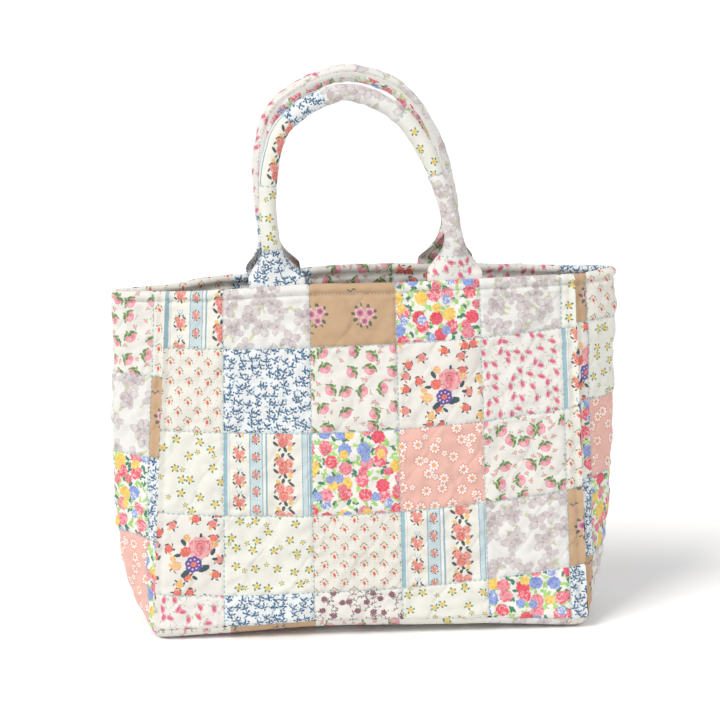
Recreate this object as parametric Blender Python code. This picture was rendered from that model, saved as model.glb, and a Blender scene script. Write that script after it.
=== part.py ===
"""A quilted patchwork knitting bag: an outer bag and a lining bag of five panels each, joined at the rim,
with two padded handles whose flat ends are sewn in between them.

Metres, +Z up, +X to the wearer's right as the front is seen, +Y to the back. The origin is the middle of
the flat face that the bag stands on.
"""

import math

import bpy
import numpy as np

# Driving dimensions.
PANEL_WIDTH = 0.380  # front and back, from corner seam to corner seam
GUSSET_WIDTH = 0.108  # cloth width of each side, and depth of the base
EDGE_RADIUS = 0.014  # round edge between the walls and the base
SEAM_ANGLE = math.radians(20)  # where on that round edge the base is sewn to the walls
CORNER_BLUR = 0.008  # how softly the upright corners turn
TAPER = (1.045, 0.970)  # how much wider than that the bag stands at the base, and at the rim
PANEL_BELLY = 0.004  # how far the front and back bow out at half height
MOUTH_DEPTH = 0.072  # from front to back at the middle of the rim, before the corners round it out
SEAM_GAP = 0.0004  # between two panels at a seam

# Height of the rim at stations around the bag, from the front left corner: (share of a panel, height).
RIM_FRONT = ((0.0, 0.310), (0.4, 0.3185), (1.0, 0.322))
RIM_RIGHT = ((0.5, 0.324),)
RIM_BACK = ((0.0, 0.322), (0.5, 0.3235), (0.85, 0.317), (1.0, 0.311))
RIM_LEFT = ((0.5, 0.309),)

# The gussets fold outwards, more and more towards the rim, as their two edges draw together:
# (distance between the edges at the rim, power of the rise with which it is reached).
LEFT_FOLD = (0.020, 0.9)
RIGHT_FOLD = (0.046, 0.8)

# The layers, as depths from the outside of the bag.
COTTON = (0.0, 0.0008)
WADDING = (0.0011, 0.0029)
HANDLE_END = (0.0034, 0.0042)
LINING = (0.0047, 0.0059)
WADDING_DROP = 0.002  # the wadding stops this far under the rim

# Handles. The path is (x, share of the rise above the rim) of the middle of the strap.
HANDLE_RISE = {"front": 0.169, "back": 0.179}
STRAP_WIDTH = 0.050
STRAP_THICKNESS = 0.0012
STRAP_SLIT = 0.0009  # between the two edges where they meet along the tube
HANDLE_PATH = (
    (-0.0830, 0.00),
    (-0.0870, 0.16),
    (-0.0910, 0.41),
    (-0.0885, 0.65),
    (-0.0735, 0.86),
    (-0.0280, 1.00),
    (0.0120, 0.935),
    (0.0400, 0.77),
    (0.0600, 0.53),
    (0.0730, 0.26),
    (0.0750, 0.00),
)
HANDLE_LEAN = 0.006  # how far the top of a handle leans in over the mouth
FLARE = 0.058  # length over which the flat end rolls into the tube
HANDLE_GAP = 0.0026  # between the rim and the moving handle
HINGE_OUT, HINGE_UP = 0.002, 0.002  # the handle folds over a line this far out of the rim
END_DEPTH = 0.030  # how far the flat ends reach into the rim
END_STAND = 0.0008  # how far they stand out of it
CORE_CLEARANCE = 0.0005

TOPSTITCH_DROP = 0.009  # the row of stitching under the rim
THREAD_RADIUS = 0.0004

# How finely things are divided.
LOOP_POINTS = 530
PANEL_COLUMNS, GUSSET_COLUMNS, WALL_ROWS = 14, 10, 7
EDGE_STEPS = 3
BASE_POINTS = 44
STRAP_ROWS, STRAP_COLUMNS, CORE_SIDES = 32, 10, 8
THREAD_SIDES = 4

LOOP_LENGTH = 2 * (PANEL_WIDTH + GUSSET_WIDTH)
# Where each panel starts and ends along the loop of cloth, which runs front, right, back, left.
SPANS = {
    "front": (0.0, PANEL_WIDTH),
    "right": (PANEL_WIDTH, PANEL_WIDTH + GUSSET_WIDTH),
    "back": (PANEL_WIDTH + GUSSET_WIDTH, 2 * PANEL_WIDTH + GUSSET_WIDTH),
    "left": (2 * PANEL_WIDTH + GUSSET_WIDTH, LOOP_LENGTH),
}


def clear_scene():
    for obj in list(bpy.data.objects):
        bpy.data.objects.remove(obj, do_unlink=True)


def make_material(name, colour, roughness=0.9):
    material = bpy.data.materials.new(name)
    material.use_nodes = True
    shader = material.node_tree.nodes["Principled BSDF"]
    shader.inputs["Base Color"].default_value = (*colour, 1.0)
    shader.inputs["Roughness"].default_value = roughness
    shader.inputs["Metallic"].default_value = 0.0
    return material


def add_object(name, points, faces, material, parent=None, origin=(0.0, 0.0, 0.0)):
    """A smooth-shaded mesh object with its origin at a joint's axis or at the bag's own."""
    mesh = bpy.data.meshes.new(name)
    local = np.asarray(points, float) - np.asarray(origin, float)
    mesh.from_pydata([tuple(p) for p in local], [], faces)
    mesh.update()
    mesh.shade_smooth()
    mesh.set_sharp_from_angle(angle=math.radians(40))
    mesh.materials.append(material)
    obj = bpy.data.objects.new(name, mesh)
    bpy.context.scene.collection.objects.link(obj)
    obj.parent = parent
    if parent is None:
        obj.location = origin
    return obj


# The shape of the bag ---------------------------------------------------------------------------


def edge_gap(fold, q):
    """Distance between the two edges of a gusset at share q of the wall's height."""
    at_rim, power = fold
    at_base = GUSSET_WIDTH - 0.001
    return at_base + (at_rim - at_base) * q**power


def headings(q):
    """Which way the cloth runs in plan, at even steps along the loop, before the corners are rounded."""
    left, right = edge_gap(LEFT_FOLD, q) / 2, edge_gap(RIGHT_FOLD, q) / 2
    panel = round(LOOP_POINTS * PANEL_WIDTH / LOOP_LENGTH)
    gusset = round(LOOP_POINTS * GUSSET_WIDTH / LOOP_LENGTH / 2)
    middle = (GUSSET_WIDTH + (MOUTH_DEPTH - GUSSET_WIDTH) * q) / 2
    bow = middle + PANEL_BELLY * math.sin(math.pi * min(1.0, q)) - (left + right) / 2
    bend = np.linspace(-1, 1, panel) * 4 * bow / PANEL_WIDTH
    lean = math.atan2(left - right, PANEL_WIDTH)
    fold_right, fold_left = (math.asin(half / (GUSSET_WIDTH / 2)) for half in (right, left))
    return np.concatenate(
        [
            lean + bend,
            np.full(gusset, fold_right),
            np.full(gusset, math.pi - fold_right),
            math.pi - lean + bend,
            np.full(gusset, math.pi + fold_left),
            np.full(gusset, 2 * math.pi - fold_left),
        ]
    )


def section(q):
    """Plan outline of the bag at share q of the wall's height: points and inward normals."""
    turn = headings(q)
    step = LOOP_LENGTH / len(turn)
    reach = math.ceil(3 * CORNER_BLUR / step)
    weights = np.exp(-0.5 * (np.arange(-reach, reach + 1) * step / CORNER_BLUR) ** 2)
    weights /= weights.sum()
    around = [turn[-reach:] - 2 * math.pi, turn, turn[:reach] + 2 * math.pi]
    turn = np.convolve(np.concatenate(around), weights, mode="valid")
    steps = step * np.stack([np.cos(turn), np.sin(turn)], axis=1)
    loop = np.cumsum(steps - steps.mean(axis=0), axis=0) - steps / 2
    front, back = (
        at_lengths(loop, np.array([SPANS[side][0] + PANEL_WIDTH / 2]))[0]
        for side in ("front", "back")
    )
    loop -= (front + back) / 2
    loop[:, 0] *= TAPER[0] + (TAPER[1] - TAPER[0]) * q
    return loop, np.stack([-np.sin(turn), np.cos(turn)], axis=1)


def at_lengths(values, lengths):
    """Values of a closed loop, read at these lengths of cloth."""
    places = np.arange(len(values) + 1) * LOOP_LENGTH / len(values)
    closed = np.concatenate([values, values[:1]])
    wrapped = np.mod(lengths, LOOP_LENGTH)
    return np.stack(
        [np.interp(wrapped, places, closed[:, k]) for k in range(values.shape[1])],
        axis=1,
    )


def rim_stations():
    """(length along the cloth, height) for every stated station."""
    found = []
    named = (
        ("front", RIM_FRONT),
        ("right", RIM_RIGHT),
        ("back", RIM_BACK),
        ("left", RIM_LEFT),
    )
    for name, stations in named:
        start, end = SPANS[name]
        found += [(start + share * (end - start), z) for share, z in stations]
    return found


def rim_height(lengths):
    """Height of the rim at these lengths of cloth, eased from station to station."""
    stations = rim_stations()
    stations.append((LOOP_LENGTH, stations[0][1]))
    places, heights = np.array(stations).T
    wrapped = np.mod(lengths, LOOP_LENGTH)
    after = np.clip(
        np.searchsorted(places, wrapped, side="right"), 1, len(places) - 1
    )
    share = (wrapped - places[after - 1]) / (places[after] - places[after - 1])
    eased = share * share * (3 - 2 * share)
    return heights[after - 1] + eased * (heights[after] - heights[after - 1])


def wall_ring(lengths, q, depth, lift=0.0):
    """Points of the wall at share q of its height, depth inside the outer face, lift above that height."""
    loop, inward = section(min(q, 1.0))
    plan = at_lengths(loop, lengths) + depth * at_lengths(inward, lengths)
    z = EDGE_RADIUS + (rim_height(lengths) - EDGE_RADIUS) * q + lift
    return np.column_stack([plan, z])


def edge_ring(lengths, angle, depth):
    """Points on the round bottom edge: angle 0 where the wall starts, and a right angle on the flat base."""
    loop, inward = section(0.0)
    radius = EDGE_RADIUS - depth
    inset = depth + radius * (1 - math.cos(angle))
    plan = at_lengths(loop, lengths) + inset * at_lengths(inward, lengths)
    z = np.full(len(plan), depth + radius * (1 - math.sin(angle)))
    return np.column_stack([plan, z])


# Solids -----------------------------------------------------------------------------------------


def grid_faces(rows, columns, first, flip=False):
    """Triangles of a rows by columns grid of points that starts at index first."""
    faces = []
    for i in range(rows - 1):
        for j in range(columns - 1):
            a = first + i * columns + j
            c = a + columns + 1
            for triangle in ((a, a + 1, c), (a, c, c - 1)):
                faces.append(triangle[::-1] if flip else triangle)
    return faces


def sheet_solid(outer, inner):
    """A closed sheet between two grids of points, both running up and, seen from outside, to the right."""
    rows, columns = outer.shape[:2]
    count = rows * columns
    points = np.concatenate([outer.reshape(-1, 3), inner.reshape(-1, 3)])
    faces = grid_faces(rows, columns, 0) + grid_faces(rows, columns, count, flip=True)
    border = [j for j in range(columns)]
    border += [i * columns + columns - 1 for i in range(1, rows)]
    border += [(rows - 1) * columns + j for j in range(columns - 2, -1, -1)]
    border += [i * columns for i in range(rows - 2, 0, -1)]
    for a, b in zip(border, border[1:] + border[:1]):
        faces.append((b, a, a + count, b + count))
    return points, faces


def tube_solid(centres, across, up, radius, sides):
    """A capped tube around a line of centres, with its two section directions at each centre."""
    turn = np.arange(sides) * 2 * math.pi / sides
    rings = [
        c + radius * (np.cos(turn)[:, None] * a + np.sin(turn)[:, None] * u)
        for c, a, u in zip(centres, across, up)
    ]
    faces = []
    for i in range(len(rings) - 1):
        for j in range(sides):
            a, b = i * sides + j, i * sides + (j + 1) % sides
            faces.append((a, b, b + sides, a + sides))
    last = (len(rings) - 1) * sides
    faces.append(tuple(range(sides - 1, -1, -1)))
    faces.append(tuple(last + j for j in range(sides)))
    return np.concatenate(rings), faces


def column_lengths(side):
    start, end = SPANS[side]
    columns = PANEL_COLUMNS if side in ("front", "back") else GUSSET_COLUMNS
    share = np.linspace(0, 1, columns + 1)
    if side in ("front", "back"):
        share = (1 - np.cos(math.pi * share)) / 2  # closer together at the corners
    return start + SEAM_GAP / 2 + (end - start - SEAM_GAP) * share


def row_shares():
    """Shares of the wall's height, closer together near the base, where the gussets flare fastest."""
    return np.linspace(0, 1, WALL_ROWS + 1) ** 1.35


def wall_layer(side, depths, drop=0.0):
    """One layer of a wall panel, from its seam with the base up to the rim or drop below it."""
    lengths, shares = column_lengths(side), row_shares()
    wall_height = np.mean([z for _, z in rim_stations()]) - EDGE_RADIUS
    shares[-1] -= drop / wall_height
    grids = []
    for depth in depths:
        gap_angle = SEAM_ANGLE - SEAM_GAP / 2 / EDGE_RADIUS
        rows = [edge_ring(lengths, gap_angle, depth)]
        rows += [wall_ring(lengths, q, depth) for q in shares]
        grids.append(np.array(rows))
    return sheet_solid(*grids)


def base_layer(depths):
    """One layer of the base: flat, with its rim turned up to the seam."""
    lengths = np.arange(BASE_POINTS) * LOOP_LENGTH / BASE_POINTS
    start = SEAM_ANGLE + SEAM_GAP / 2 / EDGE_RADIUS
    angles = np.linspace(start, math.pi / 2, EDGE_STEPS + 1)
    points, faces = [], []
    for depth in depths:
        for angle in angles:
            points.append(edge_ring(lengths, angle, depth))
    rings = len(angles)
    outer, inner = 0, rings * BASE_POINTS

    def band(a, b):
        for j in range(BASE_POINTS):
            k = (j + 1) % BASE_POINTS
            faces.append((a + j, b + j, b + k, a + k))

    for i in range(rings - 1):
        band(outer + i * BASE_POINTS, outer + (i + 1) * BASE_POINTS)
        band(inner + (i + 1) * BASE_POINTS, inner + i * BASE_POINTS)
    band(inner, outer)
    bottom = outer + (rings - 1) * BASE_POINTS
    top = inner + (rings - 1) * BASE_POINTS
    faces.append(tuple(bottom + j for j in range(BASE_POINTS - 1, -1, -1)))
    faces.append(tuple(top + j for j in range(BASE_POINTS)))
    return np.concatenate(points), faces


# Handles ----------------------------------------------------------------------------------------


def smooth_line(control, count):
    """A Catmull-Rom curve through the control points, at count even steps of length."""
    ends = [2 * control[0] - control[1], *control, 2 * control[-1] - control[-2]]
    fine = []
    for a, b, c, d in zip(ends, ends[1:], ends[2:], ends[3:]):
        for t in np.linspace(0, 1, 20, endpoint=False):
            fine.append(
                0.5
                * (
                    2 * b
                    + (c - a) * t
                    + (2 * a - 5 * b + 4 * c - d) * t**2
                    + (3 * b - a - 3 * c + d) * t**3
                )
            )
    fine = np.array([*fine, control[-1]])
    along = np.concatenate(
        [[0], np.cumsum(np.linalg.norm(np.diff(fine, axis=0), axis=1))]
    )
    even = np.linspace(0, along[-1], count)
    return np.stack([np.interp(even, along, fine[:, k]) for k in range(3)], axis=1)


def rim_place(side, x, depth, lift=0.0):
    """A point at the rim of the front or back, at about this x."""
    start, end = SPANS[side]
    sign = 1 if side == "front" else -1
    length = (start + end) / 2 + sign * x / TAPER[1]
    return wall_ring(np.array([length]), 1.0, depth, lift)[0]


def hinge_points(side):
    """The two ends of the line that a handle folds over, above the rim's outer edge at its feet."""
    feet = HANDLE_PATH[0][0], HANDLE_PATH[-1][0]
    return [rim_place(side, x, -HINGE_OUT, HINGE_UP) for x in feet]


def handle_line(side, count):
    """Centres of the strap, directions across it, the way to the bag's inside, and lengths."""
    inside = np.array([0.0, 1.0 if side == "front" else -1.0, 0.0])
    depth = sum(HANDLE_END) / 2
    left, right = (rim_place(side, HANDLE_PATH[i][0], depth, HANDLE_GAP) for i in (0, -1))
    control = []
    for x, rise in HANDLE_PATH:
        share = min(1.0, max(0.0, (x - left[0]) / (right[0] - left[0])))
        foot = left + share * (right - left)
        height = foot[2] + rise * HANDLE_RISE[side]
        control.append(np.array([x, foot[1], height]) + HANDLE_LEAN * rise**1.5 * inside)
    centres = smooth_line(control, count)
    steps = np.linalg.norm(np.diff(centres, axis=0), axis=1)
    lengths = np.concatenate([[0], np.cumsum(steps)])
    across = np.cross([0.0, 1.0, 0.0], np.gradient(centres, axis=0))
    across /= np.linalg.norm(across, axis=1)[:, None]
    # Near its feet the strap lies along the rim.
    for i, x in ((0, HANDLE_PATH[0][0]), (-1, HANDLE_PATH[-1][0])):
        rim = rim_place(side, x + 0.01, depth) - rim_place(side, x - 0.01, depth)
        rim *= (1 if i == 0 else -1) / np.linalg.norm(rim)
        away = np.clip(np.abs(lengths - lengths[i]) / FLARE, 0, 1)[:, None] ** 2
        across = np.where(away < 1, (1 - away) * rim + away * across, across)
    across /= np.linalg.norm(across, axis=1)[:, None]
    return centres, across, inside, lengths


def rolled_section(roll, offset):
    """(across, inwards) of the strap's cross-section: flat at roll 0, and a tube with a slit at roll 1."""
    radius = (STRAP_WIDTH + STRAP_SLIT) / (2 * math.pi)
    widths = np.linspace(-STRAP_WIDTH / 2, STRAP_WIDTH / 2, STRAP_COLUMNS + 1)
    bend = max(roll, 1e-3) / radius
    reach = 1 / bend + offset
    across = np.sin(bend * widths) * reach
    inwards = 1 / bend - np.cos(bend * widths) * reach - radius * roll**1.5
    return across, inwards


def roll_at(length, total):
    """How far the strap is rolled up at this length along it."""
    share = min(1.0, min(length, total - length) / FLARE)
    return share * share * (3 - 2 * share)


def handle_cover(side):
    centres, across, inside, lengths = handle_line(side, STRAP_ROWS + 1)
    grids = []
    for offset in (STRAP_THICKNESS / 2, -STRAP_THICKNESS / 2):
        rows = []
        for centre, sideways, length in zip(centres, across, lengths):
            a, b = rolled_section(roll_at(length, lengths[-1]), offset)
            rows.append(centre + a[:, None] * sideways + b[:, None] * inside)
        grids.append(np.array(rows))
    if side == "back":
        grids.reverse()
    return sheet_solid(*grids)


def handle_core(side):
    """The cord inside the tube, where the strap is fully rolled."""
    centres, across, inside, lengths = handle_line(side, STRAP_ROWS + 1)
    total = lengths[-1]
    chosen = [i for i, s in enumerate(lengths) if roll_at(s, total) > 0.995]
    radius = (STRAP_WIDTH + STRAP_SLIT) / (2 * math.pi)
    radius -= STRAP_THICKNESS / 2 + CORE_CLEARANCE
    up = [inside if side == "front" else -inside] * len(chosen)
    return tube_solid(centres[chosen], across[chosen], up, radius, CORE_SIDES)


def handle_end(side, x):
    """The flat end of a strap, sewn in between the wadding and the lining."""
    start, end = SPANS[side]
    middle = (start + end) / 2 + (1 if side == "front" else -1) * x / TAPER[1]
    lengths = np.linspace(middle - STRAP_WIDTH / 2, middle + STRAP_WIDTH / 2, 5)
    wall_height = rim_height(np.array([middle]))[0] - EDGE_RADIUS
    shares = np.linspace(1 - END_DEPTH / wall_height, 1, 3)
    grids = []
    for depth in HANDLE_END:
        rows = [wall_ring(lengths, q, depth) for q in shares]
        rows.append(wall_ring(lengths, 1.0, depth, lift=END_STAND))
        grids.append(np.array(rows))
    return sheet_solid(*grids)


def rim_topstitch():
    """The row of thread around the bag under the rim, as one closed ring."""
    lengths = np.concatenate([column_lengths(side)[:-1] for side in SPANS])
    q = row_shares()[-2]
    wall_height = rim_height(lengths) - EDGE_RADIUS
    share = (1 - TOPSTITCH_DROP / (wall_height * (1 - q)))[:, None]
    lift = THREAD_RADIUS + SEAM_GAP

    def ring(depth):
        return (1 - share) * wall_ring(lengths, q, depth) + share * wall_ring(lengths, 1, depth)

    centres = ring(-lift)
    across = (ring(THREAD_RADIUS - lift) - centres) / THREAD_RADIUS
    turn = (np.arange(THREAD_SIDES) + 0.5) * 2 * math.pi / THREAD_SIDES
    rings = [
        centres + THREAD_RADIUS * (math.cos(t) * across + math.sin(t) * np.array([0, 0, 1.0]))
        for t in turn
    ]
    points = np.stack(rings, axis=1).reshape(-1, 3)
    faces = []
    for i in range(len(lengths)):
        for j in range(THREAD_SIDES):
            a, b = i * THREAD_SIDES + j, i * THREAD_SIDES + (j + 1) % THREAD_SIDES
            step = (1 if i < len(lengths) - 1 else 1 - len(lengths)) * THREAD_SIDES
            faces.append((a, b, b + step, a + step))
    return points, faces


def make_bag(materials):
    for side in SPANS:
        kind = "panel" if side in ("front", "back") else "gusset"
        add_object(f"{side}_{kind}", *wall_layer(side, COTTON), materials["patchwork"])
        add_object(
            f"{side}_wadding", *wall_layer(side, WADDING, WADDING_DROP), materials["wadding"]
        )
        add_object(f"{side}_lining", *wall_layer(side, LINING), materials["lining"])
    add_object("base_panel", *base_layer(COTTON), materials["patchwork"])
    add_object("base_wadding", *base_layer(WADDING), materials["wadding"])
    add_object("base_lining", *base_layer(LINING), materials["lining"])
    add_object("rim_topstitch", *rim_topstitch(), materials["thread"])


def make_handle(side, materials):
    """A handle that turns about the rim, and its two ends, which stay in the rim."""
    hinge = sum(hinge_points(side)) / 2
    pivot = bpy.data.objects.new(f"{side}_handle_pivot", None)
    bpy.context.scene.collection.objects.link(pivot)
    pivot.location = hinge
    for name, solid, material in (
        (f"{side}_handle_cover", handle_cover(side), "patchwork"),
        (f"{side}_handle_core", handle_core(side), "wadding"),
    ):
        add_object(name, *solid, materials[material], pivot, hinge)
    for which, x in (("left", HANDLE_PATH[0][0]), ("right", HANDLE_PATH[-1][0])):
        add_object(
            f"{side}_handle_{which}_end", *handle_end(side, x), materials["patchwork"]
        )


def main():
    clear_scene()
    materials = {
        "patchwork": make_material("patchwork", (0.86, 0.80, 0.74)),
        "lining": make_material("lining", (0.85, 0.80, 0.74)),
        "wadding": make_material("wadding", (0.92, 0.92, 0.90), roughness=1.0),
        "thread": make_material("thread", (0.90, 0.88, 0.84)),
    }
    make_bag(materials)
    for side in ("front", "back"):
        make_handle(side, materials)


main()
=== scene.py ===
"""A quilted patchwork knitting bag with padded handles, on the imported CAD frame.

The cloth is laid out flat in metres, panel by panel, and then lofted onto the bag's shape.
"""

import math

import bpy
import numpy as np
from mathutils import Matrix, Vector


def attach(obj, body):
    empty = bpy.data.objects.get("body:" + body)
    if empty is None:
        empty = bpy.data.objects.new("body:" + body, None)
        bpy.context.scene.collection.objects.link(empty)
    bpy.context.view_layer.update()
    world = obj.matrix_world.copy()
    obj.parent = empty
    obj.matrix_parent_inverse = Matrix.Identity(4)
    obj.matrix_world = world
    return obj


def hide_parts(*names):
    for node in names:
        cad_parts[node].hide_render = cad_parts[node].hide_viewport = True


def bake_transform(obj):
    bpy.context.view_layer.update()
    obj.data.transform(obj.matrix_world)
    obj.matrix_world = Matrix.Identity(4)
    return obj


# The bag's shape, as in the CAD.
PANEL_WIDTH, GUSSET_WIDTH = 0.380, 0.108
EDGE_RADIUS = 0.014
SEAM_ANGLE = math.radians(20)
CORNER_BLUR = 0.008
TAPER = (1.045, 0.970)
PANEL_BELLY, MOUTH_DEPTH = 0.004, 0.072
RIM_FRONT = ((0.0, 0.310), (0.4, 0.3185), (1.0, 0.322))
RIM_RIGHT = ((0.5, 0.324),)
RIM_BACK = ((0.0, 0.322), (0.5, 0.3235), (0.85, 0.317), (1.0, 0.311))
RIM_LEFT = ((0.5, 0.309),)
LEFT_FOLD, RIGHT_FOLD = (0.020, 0.9), (0.046, 0.8)
THICKNESS = 0.0059  # of outer cotton, wadding and lining together
RIM_SWELL = 0.0034  # how much higher the soft rim stands than the stiff one
LOOP_LENGTH = 2 * (PANEL_WIDTH + GUSSET_WIDTH)
SPANS = {
    "front": (0.0, PANEL_WIDTH),
    "right": (PANEL_WIDTH, PANEL_WIDTH + GUSSET_WIDTH),
    "back": (PANEL_WIDTH + GUSSET_WIDTH, 2 * PANEL_WIDTH + GUSSET_WIDTH),
    "left": (2 * PANEL_WIDTH + GUSSET_WIDTH, LOOP_LENGTH),
}

# The handles. The CAD's back handle follows the path of the front one, and both roll up over 58 mm there.
HANDLE_RISE = {"front": 0.169, "back": 0.179}
STRAP_WIDTH, STRAP_SLIT = 0.050, 0.0009
STRAP_THICKNESS = 0.0016
STRAP_DEPTH = 0.0038  # where the strap stands, inside the outer face
HANDLE_PATHS = {
    "front": (
        (-0.0830, 0.00),
        (-0.0870, 0.16),
        (-0.0910, 0.41),
        (-0.0885, 0.65),
        (-0.0735, 0.86),
        (-0.0280, 1.00),
        (0.0120, 0.935),
        (0.0400, 0.77),
        (0.0600, 0.53),
        (0.0730, 0.26),
        (0.0750, 0.00),
    ),
    "back": (
        (-0.0830, 0.00),
        (-0.0875, 0.16),
        (-0.0935, 0.41),
        (-0.0920, 0.65),
        (-0.0770, 0.86),
        (-0.0240, 1.00),
        (0.0220, 0.940),
        (0.0520, 0.77),
        (0.0710, 0.53),
        (0.0800, 0.26),
        (0.0750, 0.00),
    ),
}
HANDLE_LEAN, FLARE, HANDLE_GAP = 0.006, 0.048, 0.0026
FLAT_FOOT = 0.006  # the strap starts to roll up this far above the rim
HINGE_OUT, HINGE_UP = 0.002, 0.002
SEWN_IN = 0.016  # how much of each strap end is modelled inside the rim

# The patchwork. Each panel's cloth is measured from its left seam, seen from its own side, and up
# from the floor. Columns are (at the bottom, at the rim), rows (left, middle, right), and the prints
# run from the lowest row up.
LAYOUTS = {
    "front": {
        "columns": ((0.061, 0.053), (0.139, 0.132), (0.216, 0.211), (0.292, 0.289), (0.365, 0.367)),
        "rows": ((0.042, 0.040, 0.059), (0.116, 0.114, 0.131), (0.190, 0.190, 0.205), (0.263, 0.267, 0.278)),
        "prints": ("KBLDFB", "JDAEIH", "DEFGCA", "ABCJKE", "EIHFID"),
    },
    "right": {
        "columns": ((0.016, 0.014), (0.096, 0.094)),
        "rows": ((0.064, 0.066, 0.068), (0.137, 0.139, 0.141), (0.209, 0.211, 0.213), (0.281, 0.283, 0.284)),
        "prints": ("HIB", "BFK", "FGC", "JDE", "HAI"),
    },
    "back": {
        "columns": ((0.034, 0.030), (0.113, 0.110), (0.192, 0.190), (0.271, 0.270), (0.350, 0.350)),
        "rows": ((0.047, 0.040, 0.035), (0.124, 0.117, 0.112), (0.201, 0.194, 0.189), (0.278, 0.271, 0.266)),
        "prints": ("CFKAGD", "IJBEHC", "GAKDFB", "DHCIJA", "BEGKCF"),
    },
    "left": {
        "columns": ((0.016, 0.016), (0.095, 0.097)),
        "rows": ((0.094, 0.092, 0.089), (0.168, 0.166, 0.164), (0.241, 0.239, 0.237)),
        "prints": ("DGF", "EFB", "KIH", "BCA"),
    },
}
LININGS = {
    "front": {
        "columns": ((0.050, 0.050), (0.130, 0.130), (0.210, 0.210), (0.290, 0.290), (0.365, 0.365)),
        "rows": ((0.080, 0.080, 0.080), (0.160, 0.160, 0.160), (0.240, 0.240, 0.240)),
        "prints": ("AFDKBI", "GCEJHD", "BKAIFC", "DJGEKH"),
    },
    "right": {
        "columns": ((0.030, 0.030),),
        "rows": ((0.080, 0.080, 0.080), (0.160, 0.160, 0.160), (0.240, 0.240, 0.240)),
        "prints": ("DA", "HK", "CI", "AB"),
    },
    "back": {
        "columns": ((0.010, 0.008), (0.086, 0.084), (0.164, 0.162), (0.242, 0.240), (0.318, 0.316)),
        "rows": ((0.080, 0.080, 0.080), (0.160, 0.160, 0.160), (0.240, 0.240, 0.240)),
        "prints": ("CFKAGD", "AJBEHC", "GIKDFB", "IKJCBA"),
    },
    "left": {
        "columns": ((0.028, 0.028), (0.090, 0.090)),
        "rows": ((0.080, 0.080, 0.080), (0.160, 0.160, 0.160), (0.240, 0.240, 0.240)),
        "prints": ("FCB", "KDA", "EGI", "AKG"),
    },
}
BASE_SEAMS, BASE_PRINTS = (-0.130, -0.052, 0.028, 0.108, 0.180), ("KHCDIA", "BFDGKC")
# Where one patch ends and the next begins along each strap, from its left foot, and the prints of the
# half of the strap that faces away from the arch and of the half that faces into it.
STRAPS = {
    "front": ((0.033, 0.090, 0.152, 0.188, 0.262, 0.322, 0.398), "BDEBIDIK", "BDEBIDIK"),
    "back": ((0.055, 0.120, 0.190, 0.235, 0.300, 0.365, 0.410), "BKKKIICK", "CGFCFHFC"),
}

CENTRED = {"H": (-0.010, 0.000), "J": (-0.004, 0.002)}
GRID = 0.0014  # spacing of the points of the outer cloth
HEM = 0.009  # from the rim to its row of topstitching
DASH, DASH_PITCH, DASH_RADIUS = 0.0028, 0.0047, 0.00062


# Shape ------------------------------------------------------------------------------------------


def noise(x, y, seed=0.0, wrap=0):
    """Smooth noise from -1 to 1 with about one bump to a unit. It repeats in x after wrap units."""
    i, j = np.floor(x), np.floor(y)
    f, g = x - i, y - j
    f, g = f * f * (3 - 2 * f), g * g * (3 - 2 * g)

    def corner(a, b):
        a = np.mod(a, wrap) if wrap else a
        n = np.sin(a * 127.1 + b * 311.7 + seed * 74.7) * 43758.5453
        return 2 * (n - np.floor(n)) - 1

    low = corner(i, j) * (1 - f) + corner(i + 1, j) * f
    high = corner(i, j + 1) * (1 - f) + corner(i + 1, j + 1) * f
    return low * (1 - g) + high * g


def headings(q, count):
    """Which way the cloth runs in plan, at even steps along the loop, before the corners are rounded."""

    def gap(fold):
        return GUSSET_WIDTH - 0.001 + (fold[0] - GUSSET_WIDTH + 0.001) * q ** fold[1]

    left, right = gap(LEFT_FOLD) / 2, gap(RIGHT_FOLD) / 2
    panel = round(count * PANEL_WIDTH / LOOP_LENGTH)
    gusset = round(count * GUSSET_WIDTH / LOOP_LENGTH / 2)
    middle = (GUSSET_WIDTH + (MOUTH_DEPTH - GUSSET_WIDTH) * q) / 2
    bow = middle + PANEL_BELLY * math.sin(math.pi * min(1.0, q)) - (left + right) / 2
    bend = np.linspace(-1, 1, panel) * 4 * bow / PANEL_WIDTH
    lean = math.atan2(left - right, PANEL_WIDTH)
    fold_right, fold_left = (math.asin(half / (GUSSET_WIDTH / 2)) for half in (right, left))
    return np.concatenate(
        [
            lean + bend,
            np.full(gusset, fold_right),
            np.full(gusset, math.pi - fold_right),
            math.pi - lean + bend,
            np.full(gusset, math.pi + fold_left),
            np.full(gusset, 2 * math.pi - fold_left),
        ]
    )


def section(q, count=976):
    """Plan outline of the bag at share q of the wall's height: x, y and inward normal."""
    turn = headings(q, count)
    step = LOOP_LENGTH / len(turn)
    reach = math.ceil(3 * CORNER_BLUR / step)
    weights = np.exp(-0.5 * (np.arange(-reach, reach + 1) * step / CORNER_BLUR) ** 2)
    weights /= weights.sum()
    around = [turn[-reach:] - 2 * math.pi, turn, turn[:reach] + 2 * math.pi]
    turn = np.convolve(np.concatenate(around), weights, mode="valid")
    steps = step * np.stack([np.cos(turn), np.sin(turn)], axis=1)
    loop = np.cumsum(steps - steps.mean(axis=0), axis=0) - steps / 2
    half = count * PANEL_WIDTH / 2 / LOOP_LENGTH
    front = loop[round(half)]
    back = loop[round(half + count * (PANEL_WIDTH + GUSSET_WIDTH) / LOOP_LENGTH)]
    loop = loop - (front + back) / 2
    loop[:, 0] *= TAPER[0] + (TAPER[1] - TAPER[0]) * q
    return np.column_stack([loop, -np.sin(turn), np.cos(turn)])


LOFT_SHARES = np.linspace(0, 1, 61)
LOFT = np.array([section(q) for q in LOFT_SHARES])


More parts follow.
